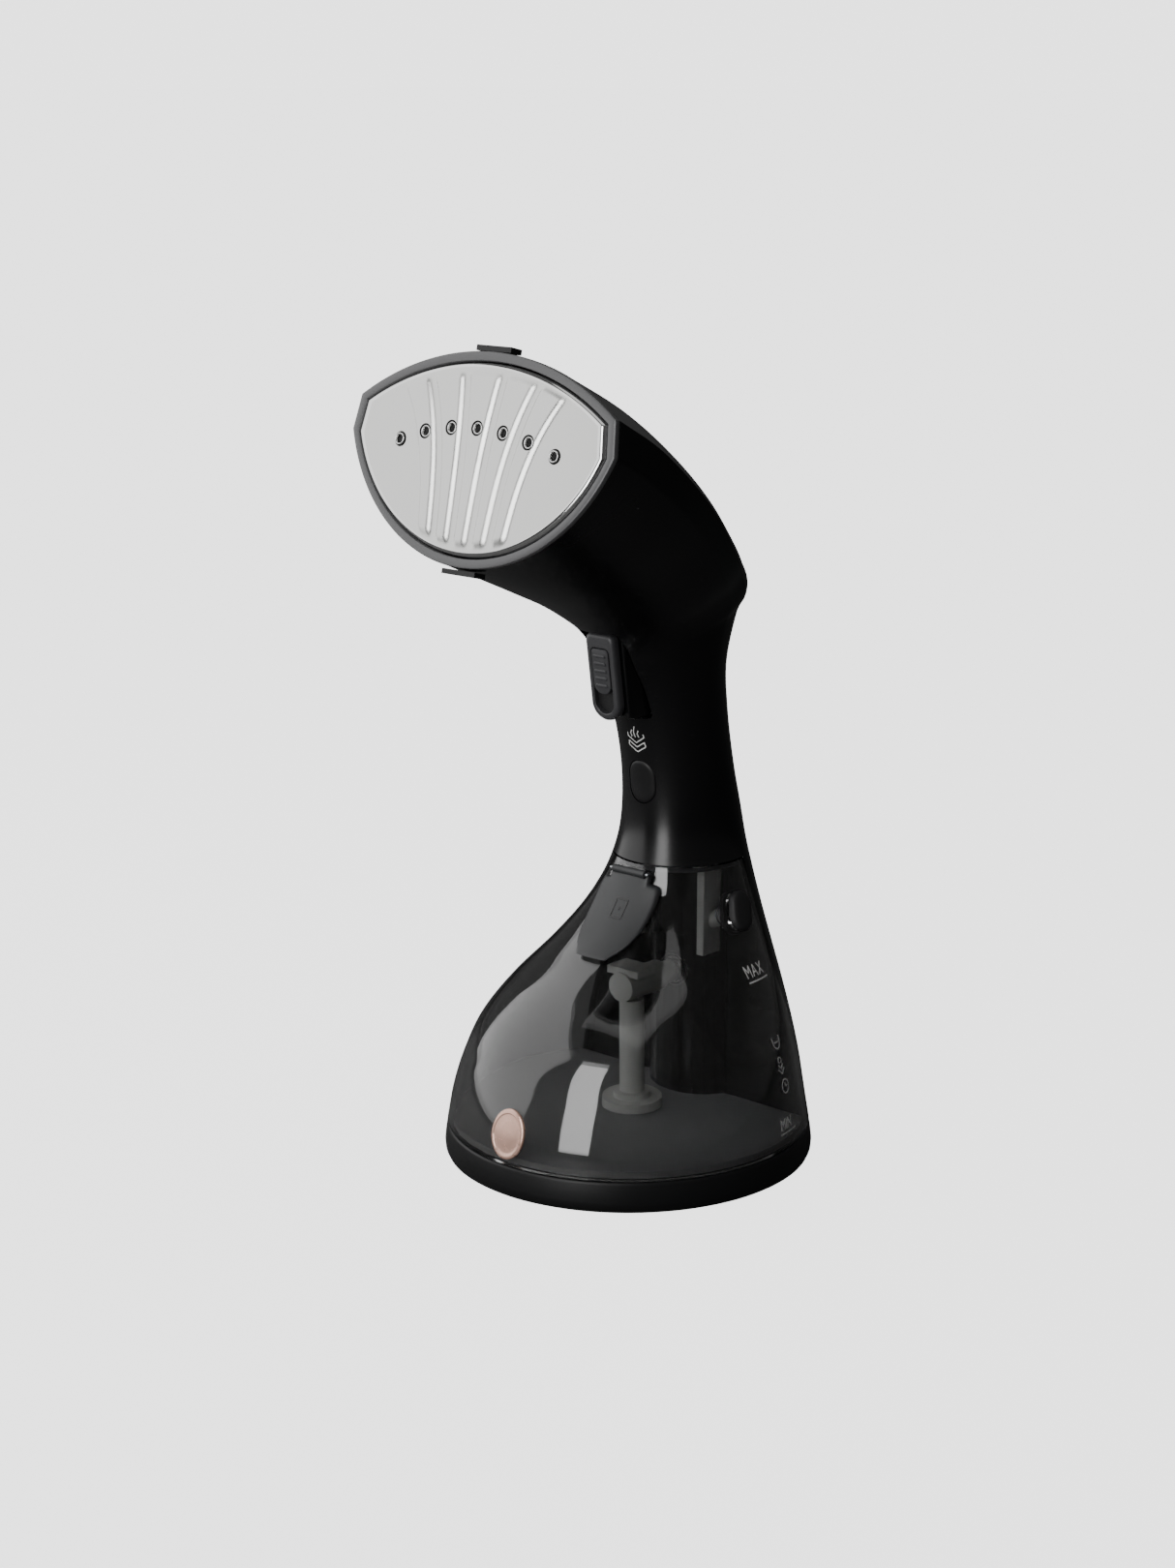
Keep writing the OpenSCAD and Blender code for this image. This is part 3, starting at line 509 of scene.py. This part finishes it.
# %% Rear shell
levels = np.concatenate([np.linspace(0.005, TOP_LEVEL, 60), np.linspace(TOP_LEVEL, LAST, 121)[1:]])
edge = seam(levels) + 0.4
rear = piece("rear_shell", [loft(shell_grid(levels, edge, 180 - 2 * edge, 81), around=False)],
             ABS["housing"], "steamer", ["rear_housing"])
walled(rear, WALL)
round_hole = lambda r: pill(2 * r, 2 * r, r - 0.01, r - 0.01, 48)
wells = [place_bar(round_hole(3.1), -70, -40, facing_front(z)) for z in (42, 86, 128)]
cut(rear, wells + [place_bar(round_hole(8), -70, -50, facing_front(26))])
print("rear shell faces after cutting:", len(rear.data.polygons))

# %% [markdown]
# ## The steam head
# A grey bezel frames the plate. It is one profile, a rounded flat bar with a lip behind it, carried
# round the shield outline. The plate is pressed from thin stainless sheet: five flutes fan out from
# the bottom to stiffen it and to guide the steam, and its edge is rolled back. Its height at a point
# is a formula in x and v, so it is a polar grid that follows the shield and rises where a flute is.

# %% Bezel
def shield_ring(t, inset):
    """The shield outline at t degrees, moved inwards by inset."""
    g = shield_gain(t)
    return np.stack([(HEAD_W - inset) * g * np.cos(np.radians(t)),
                     (HEAD_H - inset) * g * np.sin(np.radians(t))], -1)


def framed(profile, count=480):
    """A closed profile of (inset, z) pairs carried round the shield."""
    t = np.arange(count) * 360 / count
    inset, z = np.array(profile, float).T
    ring = shield_ring(t[:, None], inset[None, :])
    height = np.broadcast_to(z[None, :, None], (*ring.shape[:2], 1))
    return outwards(loft(at_plate(np.concatenate([ring, height], -1)), loop=True))


piece("bezel", [framed([(0.5, -2.0), (0.06, -1.9), (0, -0.6), (0.14, -0.2), (0.5, 0), (2.5, 0),
                        (2.9, -0.14), (3.1, -0.5), (3.1, -4), (2.5, -4), (2.4, -2.0)])],
      ABS["bezel"], "steamer", ["bezel_ring"])

# %% Steam plate
PLATE_INSET, RIM, PLATE_COLUMNS = 3.6, 1.9, 480
BRIGHT_FROM = 114  # the rolled edge is bright from this row of the grid outwards
HOLES = np.array([((i - 3) * 11.2, 9.8 - 0.0053 * ((i - 3) * 11.2) ** 2) for i in range(7)])


def step(x):
    """Smooth step: 0 below 0, 1 above 1, and three x squared less two x cubed between."""
    x = np.clip(x, 0, 1)
    return x * x * (3 - 2 * x)


def plate_height(x, v, edge):
    """Five fanned flutes 0.8 mm high, each with a steep left flank and a long right one, fading
    before the rim, and a quarter-round rolled edge."""
    p = np.clip((v + 28) / 53, 0, 1.2)
    pitch, half = 8 + 2.6 * p + 4.9 * p ** 3, (5.5 + 2.2 * p + 5.3 * p ** 3) / 2
    rise = np.zeros_like(x)
    for k in range(-2, 3):
        d = x - k * pitch
        rise = np.maximum(rise, np.minimum(step((half + 0.3 + d) / 1.0), step((half + 0.3 - d) / 2.6)))
    z = 0.6 + 0.8 * rise * step((edge - 1.8) / 3.6)
    roll = np.clip(1 - edge / RIM, 0, 1)
    return z - RIM * (1 - np.sqrt(1 - roll ** 2))


t = np.arange(PLATE_COLUMNS) * 360 / PLATE_COLUMNS
outer = shield_ring(t, PLATE_INSET)
share = np.concatenate([np.linspace(0.012, 0.93, 110), np.linspace(0.935, 1, 18)])
xy = share[:, None, None] * outer[None]
edge = (1 - share)[:, None] * np.hypot(*outer.T)[None]
z = plate_height(xy[..., 0], xy[..., 1], edge)
face = np.concatenate([xy, z[..., None]], -1)
skirt = np.concatenate([outer, np.full((PLATE_COLUMNS, 1), -4.2)], -1)
back = [np.concatenate([f * outer, np.full((PLATE_COLUMNS, 1), d)], -1)
        for f, d in ((0.975, -4.2), (0.97, -0.6), (0.03, -2.9))]
sheet = np.stack([*face, skirt, *back])
plate = piece("steam_plate_pressed", [outwards(loft(at_plate(sheet)))], STEEL, "steamer",
              ["steam_plate"], angle=50)
plate.data.materials.append(CHROME)
rows = np.repeat(np.arange(len(sheet) - 1), PLATE_COLUMNS)
bright = ((rows >= BRIGHT_FROM) & (rows <= len(share))).astype(np.int32)
slots = np.zeros(len(plate.data.polygons), np.int32)
slots[:len(bright)] = bright
plate.data.polygons.foreach_set("material_index", slots)

# %% Eyelets
def turned(profile, count=40):
    """A ring of local points for each (radius, height) of a profile, to be joined by loft."""
    a = np.arange(count) * 2 * math.pi / count
    r, z = np.array(profile, float).T
    height = np.broadcast_to(z[:, None], (len(r), count))
    return np.stack([r[:, None] * np.cos(a), r[:, None] * np.sin(a), height], -1)


def hole_bars(radius, low, high):
    """A straight bar through the plate at each of the seven steam holes."""
    return [loft(at_plate(turned([(radius, low), (radius, high)], 48) + np.append(h, 0))) for h in HOLES]


cut(plate, hole_bars(2.5, -8, 4))
eyelet = turned([(1.98, -1.1), (1.98, 0.95), (1.9, 1.2), (1.75, 1.3), (1.5, 1.2), (1.34, 0.9), (1.3, -1.1)])
piece("steam_eyelets", [outwards(loft(at_plate(eyelet + np.append(h, 0)), loop=True)) for h in HOLES],
      CHROME, "steamer", angle=60)
# a black cup under each hole: its floor and walls are painted shade, for the dark inside the hole and the
# shadow gap round the eyelet
shade_cup = turned([(2.48, -2.6), (2.48, 0.3), (2.25, 0.3), (2.25, -1.15)], 48)
piece("steam_hole_painted_shade_cups", [outwards(loft(at_plate(shade_cup + np.append(h, 0)))) for h in HOLES], ABS["inner"],
      "steamer")

# %% [markdown]
# ## Following the surface
# Small parts such as the window, the flap and the printing lie on the curved skin. Two functions
# take a flat drawing to it: one for the front, from x and height, one for the flanks, from y and
# height. A third number lifts the point off the skin.

# %% On the skin
FINE = np.linspace(0, 13, 1301)
FRONT_Z = level(FINE)[:, 1]


def on_front(x, z, lift=0.0):
    """Front of the skin: the level whose front point has height z, and the angle whose cosine
    gives x, with the skin grown by lift."""
    x, z, lift = np.broadcast_arrays(np.asarray(x, float), z, lift)
    s = np.interp(z, FRONT_Z, FINE)
    w = level(s)[..., 4] + lift
    return skin(s, 270 + np.degrees(np.arcsin(np.clip(x / w, -1, 1))), -lift)


def on_flank(y, z, lift=0.0):
    """Right flank of the skin in the upright part: the angle whose sine gives y, grown by lift."""
    y, z, lift = np.broadcast_arrays(np.asarray(y, float), z, lift)
    s = level_at(z)
    return skin(s, cut_angle(s, y, -lift), -lift)


def domed(ring, middle_z, profile):
    """Rings of a button: the outline drawn in by each inset of the profile and lifted off the skin
    by its height, then closed towards the middle in even steps."""
    ring = np.asarray(ring, float)
    reach = np.hypot(*ring.T).min()
    rows = [ring * (1 - inset / reach) for inset, _ in profile]
    lifts = [lift for _, lift in profile]
    last_ring, last_lift = rows[-1], lifts[-1]
    for f in (0.75, 0.5, 0.25, 0.04):
        rows.append(last_ring * f)
        lifts.append(last_lift)
    return loft([on_front(r[:, 0], r[:, 1] + middle_z, l) for r, l in zip(rows, lifts)])


piece("lamp_window", [outwards(domed(pill(11.5, 15.1, 5.7, 5.7), 132.4,
                                     [(0, -3.2), (0, -0.25), (0.25, 0.0), (0.7, 0.12)]))],
      ABS["textured"], "steamer", ["lamp_lens"])

# %% [markdown]
# ## The trigger
# Trigger pad, lock slider and trigger body are three mouldings. The pad has a recess in which the
# slider runs; a thin black sheet on its floor is painted shade, for the dark gap below the slider.
# Rings of a rounded rectangle go from the back of the pad, over a soft edge, to the recess and down
# to its floor.

# %% Trigger pad
def ringed(steps, to_body):
    """Rings given as (outline, height), joined in order and closed at both ends."""
    return outwards(loft([to_body(flat(ring, z)) for ring, z in steps]))


def pad_outline(inset):
    return pill(12.6 - 2 * inset, 31 - 2 * inset, 6.25 - inset, 2.6 - inset * 0.6)


def recess_outline(inset):
    return pill(8.2 - 2 * inset, 23.4 - 2 * inset, 4.05 - inset, 1.9 - inset) + (0, -1.2)


# pairs of inset and height
PAD_STEPS = [(0.3, -3.4), (0, -3.1), (0, -1.5), (0.2, -0.8), (0.6, -0.28), (1.2, -0.04), (1.6, 0)]
RECESS_STEPS = [(-0.25, 0), (0, -0.2), (0.05, -2.0), (2.5, -2.0)]
pad = [(pad_outline(i), z) for i, z in PAD_STEPS] + [(recess_outline(i), z) for i, z in RECESS_STEPS]
piece("trigger_pad_moulding", [ringed(pad, at_trigger)],
      ABS["trigger"], "trigger", ["trigger_pad"])

# %% Lock slider
SLIDER_MIDDLE, RIB_PITCH = 2.2, 2.6


def slider_outline(inset):
    return pill(7.5 - 2 * inset, 16 - 2 * inset, 3.4 - inset, 1.6 - inset * 0.5) + (0, SLIDER_MIDDLE)


def rib(middle):
    """One grip rib across the slider, its middle at a height up the pad."""
    return ringed([(pill(5.2 - 2 * i, 1.1 - 2 * i, 0.5 - i, 0.5 - i, 48) + (0, middle), z)
                   for i, z in ((0, 0.0), (0, 0.4), (0.12, 0.56), (0.3, 0.62))], at_trigger)


SLIDER_STEPS = [(0.1, -1.88), (0, -1.6), (0, -0.1), (0.18, 0.14), (0.5, 0.22)]
slider = ringed([(slider_outline(i), z) for i, z in SLIDER_STEPS], at_trigger)
ribs = [rib(SLIDER_MIDDLE + k * RIB_PITCH + 0.3) for k in range(-2, 3)]
piece("lock_slider_moulding", [slider] + ribs,
      ABS["trigger"], "lock", ["lock_slider"])

# a thin black sheet on the recess floor: painted shade for the dark gap below the slider
piece("slider_recess_painted_shade", [ringed([(recess_outline(0.1), -1.99), (recess_outline(0.1), -1.93)], at_trigger)],
      ABS["inner"], "trigger")

# %% Trigger body
# the trigger's side view as y and z, and that of its two cheeks, which reach further back
SIDE_VIEW = np.array([[-12.1, 186.9], [-10.15, 172.7], [-8.2, 158.6], [-4.5, 157.6], [0.5, 158.0],
                      [3.6, 160.2], [4.4, 163.0], [3.2, 168.0], [0.5, 174.0], [-0.5, 180.0],
                      [0.0, 186.0], [-2.0, 187.2]])
CHEEK = np.array([[-12.1, 186.9], [-10.15, 172.7], [-8.2, 158.6], [-4.5, 157.6], [1.0, 157.7],
                  [4.2, 158.8], [5.6, 161.2], [5.7, 164.0], [4.7, 169.0], [2.9, 174.5],
                  [1.6, 180.0], [1.2, 184.0], [0.8, 187.0], [-2.0, 187.2]])
CHEEK_STEPS = [(0.2, 6.7), (0, 6.9), (0, 7.4), (0.25, 7.8), (0.7, 7.95)]


def side_ring(inset, x, outline):
    """A side view drawn in towards its middle, at one x."""
    middle = outline.mean(0)
    ring = middle + (outline - middle) * (1 - inset / 9)
    return np.column_stack([np.full(len(ring), x), ring])


def slab(outline, steps):
    """A side view carried along X through pairs of inset and x."""
    return outwards(loft([side_ring(inset, x, outline) for inset, x in steps]))


cheeks = [slab(CHEEK, [(inset, side * x) for inset, x in CHEEK_STEPS]) for side in (1, -1)]
piece("trigger_body", [slab(SIDE_VIEW, [(0.3, -7.0), (0.3, 7.0)]), *cheeks], ABS["gloss"], "trigger",
      ["trigger_block"], angle=50)

# %% [markdown]
# ## The foot
# A round moulding turned about the upright axis, with a small lip at the top where the tank sits.

# %% Foot
foot = turned([(61, 9.4), (61, 1.02), (63.3, 1.0), (64.1, 1.5), (64.7, 2.8), (64.9, 5), (64.5, 8.5),
               (64.1, 10.9), (63.95, 11.5), (63.6, 11.85), (63.1, 12.0)], 240)
piece("foot_moulding", [outwards(loft(foot))], ABS["textured"], "steamer", ["base_foot"])

# %% [markdown]
# ## The clear tank
# The tank is one closed solid: a ring of points runs round the front and back along the notch for
# the column, once on the outside and once 2 mm further in. Walking up the outer rings and down the
# inner ones closes the wall at the top and the bottom, so light refracts through a real thickness.

# %% Tank wall
def tank_ring(z, inset, around=181, notch=41):
    """One level ring: the skin's front from back corner to back corner, then the column's arc."""
    y, r = TANK_BACK - inset, COLUMN_R + 0.5 + inset
    e = cut_angle(level_at(z), y, inset)
    f = math.degrees(math.asin((y - COLUMN_Y) / r))
    a = np.radians(f - (180 + 2 * f) * np.linspace(0, 1, notch))
    arc = np.column_stack([r * np.cos(a), COLUMN_Y + r * np.sin(a), np.full(notch, z)])
    return np.vstack([skin(level_at(z), 180 - e + (180 + 2 * e) * np.linspace(0, 1, around), inset), arc])


heights = np.linspace(FOOT_TOP + 0.4, TANK_TOP - 0.5, 80)
wall = [tank_ring(z, 0) for z in heights] + [tank_ring(z, TANK_WALL) for z in heights[::-1]]
tank = piece("tank_wall", [outwards(loft(wall, loop=True))], SMOKE, "tank", ["tank_shell"])
mouth = place_bar(pill(17, 22, 8.4, 8.4), -12, 28, facing_front(87))
button_hole = lying(9.8, 14.8, 4.85)
port = place_bar(round_hole(4.3), -27, -15, facing_front(60))
cut(tank, [mouth, port] + [place_bar(button_hole, -6, 6, button_plane(side)) for side in (1, -1)])

# %% [markdown]
# ## Flap, buttons and badge
# The filling flap hangs from a pin at the top and follows the tank's curve. Soft-touch buttons on
# the flanks let the tank go. A plain oval plaque in rose-gold plate stands where a maker would put
# a mark.

# %% Filling flap
FLAP = np.array([[75.2, 6.4], [76.2, 7.4], [78, 9.6], [80, 11.2], [83, 12.4], [87, 13], [92, 13.1],
                 [96, 12.8], [97.6, 12], [98.2, 8.6], [101.5, 8.2]])
FLAP_MIDDLE = 88.0


def flap_outline(count=200):
    """The flap's edge from its half widths: up the right side, over, down the left, in even steps."""
    right = FLAP[:, ::-1] - (0, FLAP_MIDDLE)
    return stepped(np.vstack([right, right[::-1] * (-1, 1), right[:1]]), count)


def barrel(radius, half, y, z):
    """A round bar along X with softened ends."""
    a = np.linspace(0, 2 * math.pi, 32, endpoint=False)
    rows = [(-half, 0.7), (-half + 0.3, 1), (half - 0.3, 1), (half, 0.7)]
    return outwards(loft([np.column_stack([np.full(len(a), x), y + k * radius * np.cos(a),
                                           z + k * radius * np.sin(a)]) for x, k in rows]))


edge_profile = [(0.2, 1.3), (0, 1.5), (0, 2.5), (0.2, 2.85), (0.6, 3.05), (1.3, 3.12)]
piece("filling_flap", [outwards(domed(flap_outline(), FLAP_MIDDLE, edge_profile)),
                       barrel(1.4, 7.4, 0.75, 101.5)], ABS["flap"], "cap", ["fill_cap"])

# %% Release buttons
dome = [(0, -3.6), (0, 0.8), (0.25, 1.3), (0.8, 1.65), (1.8, 1.85), (3.0, 1.92), (4.2, 1.95)]
for side, name in ((1, "right"), (-1, "left")):
    rings = [(lying(9.2 - 2 * i, 14.2 - 2 * i, 4.55 - i), z) for i, z in dome]
    flange = [(lying(10.6, 15.6, 5.2), z) for z in (-5.2, -3.6)]
    piece(f"release_button_{name}_moulding", [ringed(part, button_plane(side)) for part in (rings, flange)],
          RUBBER, f"button_{name}", [f"release_button_{name}"])

# %% Badge
def oval(width, length, count=96):
    a = np.arange(count) * 2 * math.pi / count
    return np.column_stack([width / 2 * np.cos(a), length / 2 * np.sin(a)])


plaque_edge = [(0, 0.1), (0, 0.7), (0.25, 1.0), (0.7, 1.1), (1.1, 1.1), (1.4, 0.85), (2.0, 0.8)]
piece("plain_plaque", [outwards(domed(oval(14.6, 16.6), 22.7, plaque_edge))],
      ROSE, "tank", ["badge"])

# %% [markdown]
# ## Finishes for the parts inside
# The pump, the boiler, the hose and the fasteners keep their CAD shapes, which are exact. Each one
# is given the finish that its record slot names, worked out in the same way as the outer ones.

# %% Inner finishes
INNER = {
    "silicone_red": ("red_silicone_moulded", "#a9523a", 0.55, 0, 8, 0.3),
    "cast_aluminium": ("cast_aluminium", "#a9abad", 0.45, 1, 6, 0.8),
    "element_sheath": ("heat_stained_steel_tube", "#847a6e", 0.35, 1, 5, 0.3),
    "mica": ("pressed_mica_sheet", "#b9ae93", 0.55, 0, 3, 0.5),
    "ceramic_white": ("steatite_ceramic", "#d9d4c6", 0.5, 0, 5, 0.3),
    "brass_fitting": ("turned_brass", "#c3a25a", 0.28, 1, 6, 0.15),
    "steel_screw": ("zinc_plated_steel", "#a4a7aa", 0.3, 1, 4, 0.25),
    "led_body": ("red_led_epoxy", "#c8503c", 0.15, 0, 4, 0.05),
    "board_green": ("green_solder_mask_board", "#2f6b3c", 0.35, 0, 5, 0.2),
    "component_grey": ("moulded_component_grey", "#3b3b40", 0.45, 0, 5, 0.2),
    "hose_silicone": ("milky_silicone_hose", "#d8d4cc", 0.45, 0, 8, 0.1),
    "wire_black": ("pvc_wire_sleeve", "#26262a", 0.45, 0, 8, 0.1),
    "pump_white": ("white_nylon_pump", "#d6d6d2", 0.4, 0, 8, 0.15),
    "copper_coil": ("varnished_copper_winding", "#8a4526", 0.32, 1, 0.9, 0.8),
    "rubber_black": ("black_nitrile_rubber", "#19191a", 0.6, 0, 6, 0.4),
    "port_grey": ("light_grey_acetal", "#dededa", 0.35, 0, 8, 0.1),
    "deck_grey": ("dark_grey_tank_deck", "#4a4c4e", 0.45, 0, 8, 0.15),
}
BY_SLOT = {slot: finish_for(n, c, r, metallic=m, tone=0.1, tone_mm=mm, grain=g, grain_mm=0.4, smear=0.05)
           for slot, (n, c, r, m, mm, g) in INNER.items()}
BY_SLOT |= {"clip_plastic": ABS["textured"], "inner_black": ABS["inner"], "tank_grey": ABS["floor"],
            "pale_grey": ABS["pale"], "foot_black": ABS["textured"], "lens_smoke": ABS["textured"]}
for part in frame["record"]["subparts"]:
    node = frame["nodes"][part["node"]]
    if part["material_slot"] in BY_SLOT and not node.hide_render:
        node.data.materials.clear()
        node.data.materials.append(BY_SLOT[part["material_slot"]])
print("inner finishes:", len(BY_SLOT))

# %% [markdown]
# ## Return springs
# Three coil springs push the trigger and the two buttons back. Each is a round wire carried along a
# helix.

# %% Springs
def coil(radius, wire, height, turns, to_body):
    """A round wire on a helix: the centre line turns round the axis at one radius while it rises
    evenly, and carries a circle that lies in the plane of the radius and the axis."""
    a = np.linspace(0, 2 * math.pi * turns, turns * 28 + 1)
    outward = np.stack([np.cos(a), np.sin(a), 0 * a], -1)
    middle = radius * outward + np.stack([0 * a, 0 * a, wire + (height - 2 * wire) * a / a[-1]], -1)
    b = (np.arange(10) * math.pi / 5)[None, :, None]
    circle = np.cos(b) * outward[:, None] + np.sin(b) * np.array([0, 0, 1])
    return outwards(loft(to_body(middle[:, None] + wire * circle)))


SEAT_Z, TIP_Z = -9.6, -5.4  # ends of a button spring, behind its button's plane
spring_seat = plane((0, 9.05, 168), (1, 0, 0), (0, 0, 1), (0, -1, 0))
spring = piece("trigger_return_spring", [coil(1.6, 0.28, 5.1, 4, spring_seat)], BY_SLOT["steel_screw"],
               "steamer", ["trigger_spring"])
tuple(spring_seat((0, 0, 0)) * MM)
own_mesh(spring)
for side, name in ((1, "right"), (-1, "left")):
    seat_at, tip_at = [button_plane(side)((0, 0, z)) for z in (SEAT_Z, TIP_Z)]
    raised = lambda p, side=side: button_plane(side)(np.asarray(p) + (0, 0, SEAT_Z))
    spring = piece(f"button_{name}_return_spring", [coil(4, 0.26, 4.2, 3, raised)], BY_SLOT["steel_screw"],
                   "tank", [f"button_spring_{name}"])
    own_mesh(spring)
plain = [part["node"] for part in frame["record"]["subparts"]
         if not frame["nodes"][part["node"]].hide_render and part["material_slot"] not in BY_SLOT]
print("nodes left with the CAD look:", plain)

# %% [markdown]
# ## Printing
# Level marks and pictograms are pad-printed in white ink. A stroke is a flat ribbon of constant
# width laid along the skin: each point of a drawn line gets a left and a right neighbour, square to
# the line's direction.

# %% Ribbons of ink
INK_STEP = 0.35


def ribbon(path, width, place, lift, closed=False):
    """A flat strip along a drawn line: each point moved half a width to either side, square to the
    direction between its neighbours, and laid on the skin."""
    path = np.array(path, float)
    drawn = np.vstack([path, path[:1]]) if closed else path
    line = stepped(drawn, max(4, int(lengths(drawn)[-1] / INK_STEP)), endpoint=True)
    way = np.gradient(line, axis=0)
    way /= np.maximum(np.hypot(*way.T)[:, None], 1e-9)
    side = np.stack([-way[:, 1], way[:, 0]], -1) * width / 2
    edges = (line + side, line - side)
    top, low = [[place(*e.T, height) for e in edges] for height in (lift, lift - 0.05)]
    return outwards(loft(np.stack([top[0], top[1], low[1], low[0]], 1)))


def ink(name, strokes, width, place, body, lift=0.08, finish=PRINT):
    """One printed mark from several strokes; a stroke whose last flag is True is closed."""
    shapes = [ribbon(path, width, place, lift, shut) for path, shut in strokes]
    return piece(name, shapes, finish, body)


LETTERS = {"M": [[(0, 0), (0, 3), (1, 1.2), (2, 3), (2, 0)]],
           "A": [[(0, 0), (1, 3), (2, 0)], [(0.45, 1.1), (1.55, 1.1)]],
           "X": [[(0, 0), (2, 3)], [(0, 3), (2, 0)]],
           "I": [[(0, 0), (0, 3)]],
           "N": [[(0, 0), (0, 3), (1.8, 0), (1.8, 3)]]}


def level_mark(word, left, height, z, width):
    """A level line with its plain word above it, drawn to the given left edge, y and height."""
    strokes, at = [([(left, z), (left + width, z)], False)], left + 0.6
    for letter in word:
        for path in LETTERS[letter]:
            strokes.append(([(at + x * height / 3, z + 1.3 + y * height / 3) for x, y in path], False))
        at += (max(x for path in LETTERS[letter] for x, y in path) + 0.8) * height / 3
    return strokes


ink("level_mark_upper", level_mark("MAX", 14.0, 3.7, 66.6, 11.5), 0.42, on_flank, "tank")
ink("level_mark_lower", level_mark("MIN", 8.0, 3.7, 17.6, 10.5), 0.42, on_flank, "tank")

# %% Pictograms
def arc(x, y, r, a, b, count=14):
    """Points of a circular arc from angle a to b in degrees."""
    turn = np.radians(np.linspace(a, b, count))
    return [(x + r * math.cos(v), y + r * math.sin(v)) for v in turn]


cup = [(arc(15.8, 47.3, 2.2, 180, 360), False), ([(13.6, 47.3), (13.3, 49)], False),
       ([(18, 47.3), (18.3, 49)], False), ([(14.6, 47.2), (17, 47.2)], False)]
puff = [([(12.9, 38.6), (14.9, 36.9), (16.9, 38.6)], False),
        ([(13.4, 40), (14.9, 38.8), (16.4, 40)], False), (arc(14.9, 41.4, 1.0, -60, 240), False)]
clock = [(arc(15.3, 32.6, 2.3, 0, 360, 30), True), ([(15.3, 34), (15.3, 32.6), (16.4, 32.6)], False)]
for name, strokes in (("cup", cup), ("puff", puff), ("clock", clock)):
    ink(f"pictogram_{name}", strokes, 0.42, on_flank, "tank")

steam_mark = [([(-3.4, 147.2), (-3.7, 145.6), (0, 143.4), (3.7, 145.6), (3.4, 147.2), (0, 145.2)], True),
              ([(-3.4, 150.2), (-3.6, 149), (0, 146.8), (3.6, 149), (3.4, 150.2)], False),
              ([(-1.5, 148.9), (-1.9, 150.2), (-1.1, 151.4)], False),
              ([(0, 148.7), (-0.5, 150.6), (0.3, 152.8)], False),
              ([(1.5, 148.9), (1.0, 150.2), (1.7, 151.4)], False)]
ink("pictogram_steam", steam_mark, 0.36, on_front, "steamer")
tap_mark = [([(-1.2, 87.2), (-1.2, 92.8), (3.6, 92.8), (3.6, 87.2)], True),
            (arc(1.2, 90, 0.35, 0, 360, 10), True)]
ink("pictogram_water", tap_mark, 0.45, on_front, "cap", lift=3.3, finish=ABS["gloss"])

# %% [markdown]
# ## Stage, lights and camera
# A black, glossy object shows its lights more than its own colour. A tall narrow softbox almost in
# front draws the strip down the handle and the tank, a wide weaker one to the left fills the steam
# plate, which mirrors it, and a faint one hangs overhead. The table and the room glow for the camera
# only, which gives a white ground. What the plastic mirrors, and what the clear tank lets through,
# is a dim studio.

# %% Stage
TABLE_GLOW, ROOM_GLOW, ROOM_LIGHT = 2.6, 2.65, 0.09
floor_mesh = bpy.data.meshes.new("floor")
floor_mesh.from_pydata([(-40, -40, 0), (40, -40, 0), (40, 40, 0), (-40, 40, 0)], [], [(0, 1, 2, 3)])
floor_object = bpy.data.objects.new("floor", floor_mesh)
bpy.context.scene.collection.objects.link(floor_object)
paper = finish_for("grey_acrylic_table", "#5c5c5c", 0.8, gloss=0.2, tone=0.01, tone_mm=300)
glow = next(n for n in paper.node_tree.nodes if n.type == "BSDF_PRINCIPLED")
glow.inputs["Emission Color"].default_value = (1, 1, 1, 1)
for_camera = add(paper.node_tree, "LightPath").outputs["Is Camera Ray"]
amount = add(paper.node_tree, "MapRange", {"Value": for_camera}, To_Min=0.0, To_Max=TABLE_GLOW)
paper.node_tree.links.new(amount.outputs["Result"], glow.inputs["Emission Strength"])
floor_mesh.materials.append(paper)

world = bpy.data.worlds.new("studio")
bpy.context.scene.world = world
world.use_nodes = True
room = world.node_tree
room.nodes["Background"].inputs["Color"].default_value = (1, 1, 1, 1)
seen = add(room, "LightPath").outputs["Is Camera Ray"]
brightness = add(room, "MapRange", {"Value": seen}, To_Min=ROOM_LIGHT, To_Max=ROOM_GLOW)
room.links.new(brightness.outputs["Result"], room.nodes["Background"].inputs["Strength"])


def softbox(name, turn, height, away, width, tall, radiance):
    """A rectangular soft light, turn degrees round from the front, that faces the object. Its power
    is pi times its area times the radiance wanted."""
    a = math.radians(turn)
    lamp = bpy.data.lights.new(name, "AREA")
    lamp.shape, lamp.size, lamp.size_y = "RECTANGLE", width, tall
    lamp.energy = math.pi * width * tall * radiance
    made = bpy.data.objects.new(name, lamp)
    made.location = (away * math.sin(a), -away * math.cos(a), height)
    made.rotation_euler = (Vector((0, 0, 0.13)) - made.location).to_track_quat("-Z", "Y").to_euler()
    made.visible_camera = False
    bpy.context.scene.collection.objects.link(made)


softbox("strip_front", 8, 0.32, 0.62, 0.23, 0.60, 7.0)
softbox("fill_left", -62, 0.385, 0.60, 0.90, 0.78, 1.7)
softbox("overhead", 0, 1.30, 0.05, 0.90, 0.90, 0.8)

# %% Camera
azimuth, elevation, distance = math.radians(41), math.radians(14.2), 0.975
look_at = Vector((0, 0, 0.1329))
back = Vector((math.sin(azimuth) * math.cos(elevation), -math.cos(azimuth) * math.cos(elevation),
               math.sin(elevation)))
view = bpy.data.cameras.new("camera")
view.lens, view.sensor_width, view.shift_x = 65.0, 36.0, -0.026
camera = bpy.data.objects.new("camera", view)
camera.location = look_at + back * distance
camera.rotation_euler = (-back).to_track_quat("-Z", "Y").to_euler()
bpy.context.scene.collection.objects.link(camera)
bpy.context.scene.camera = camera
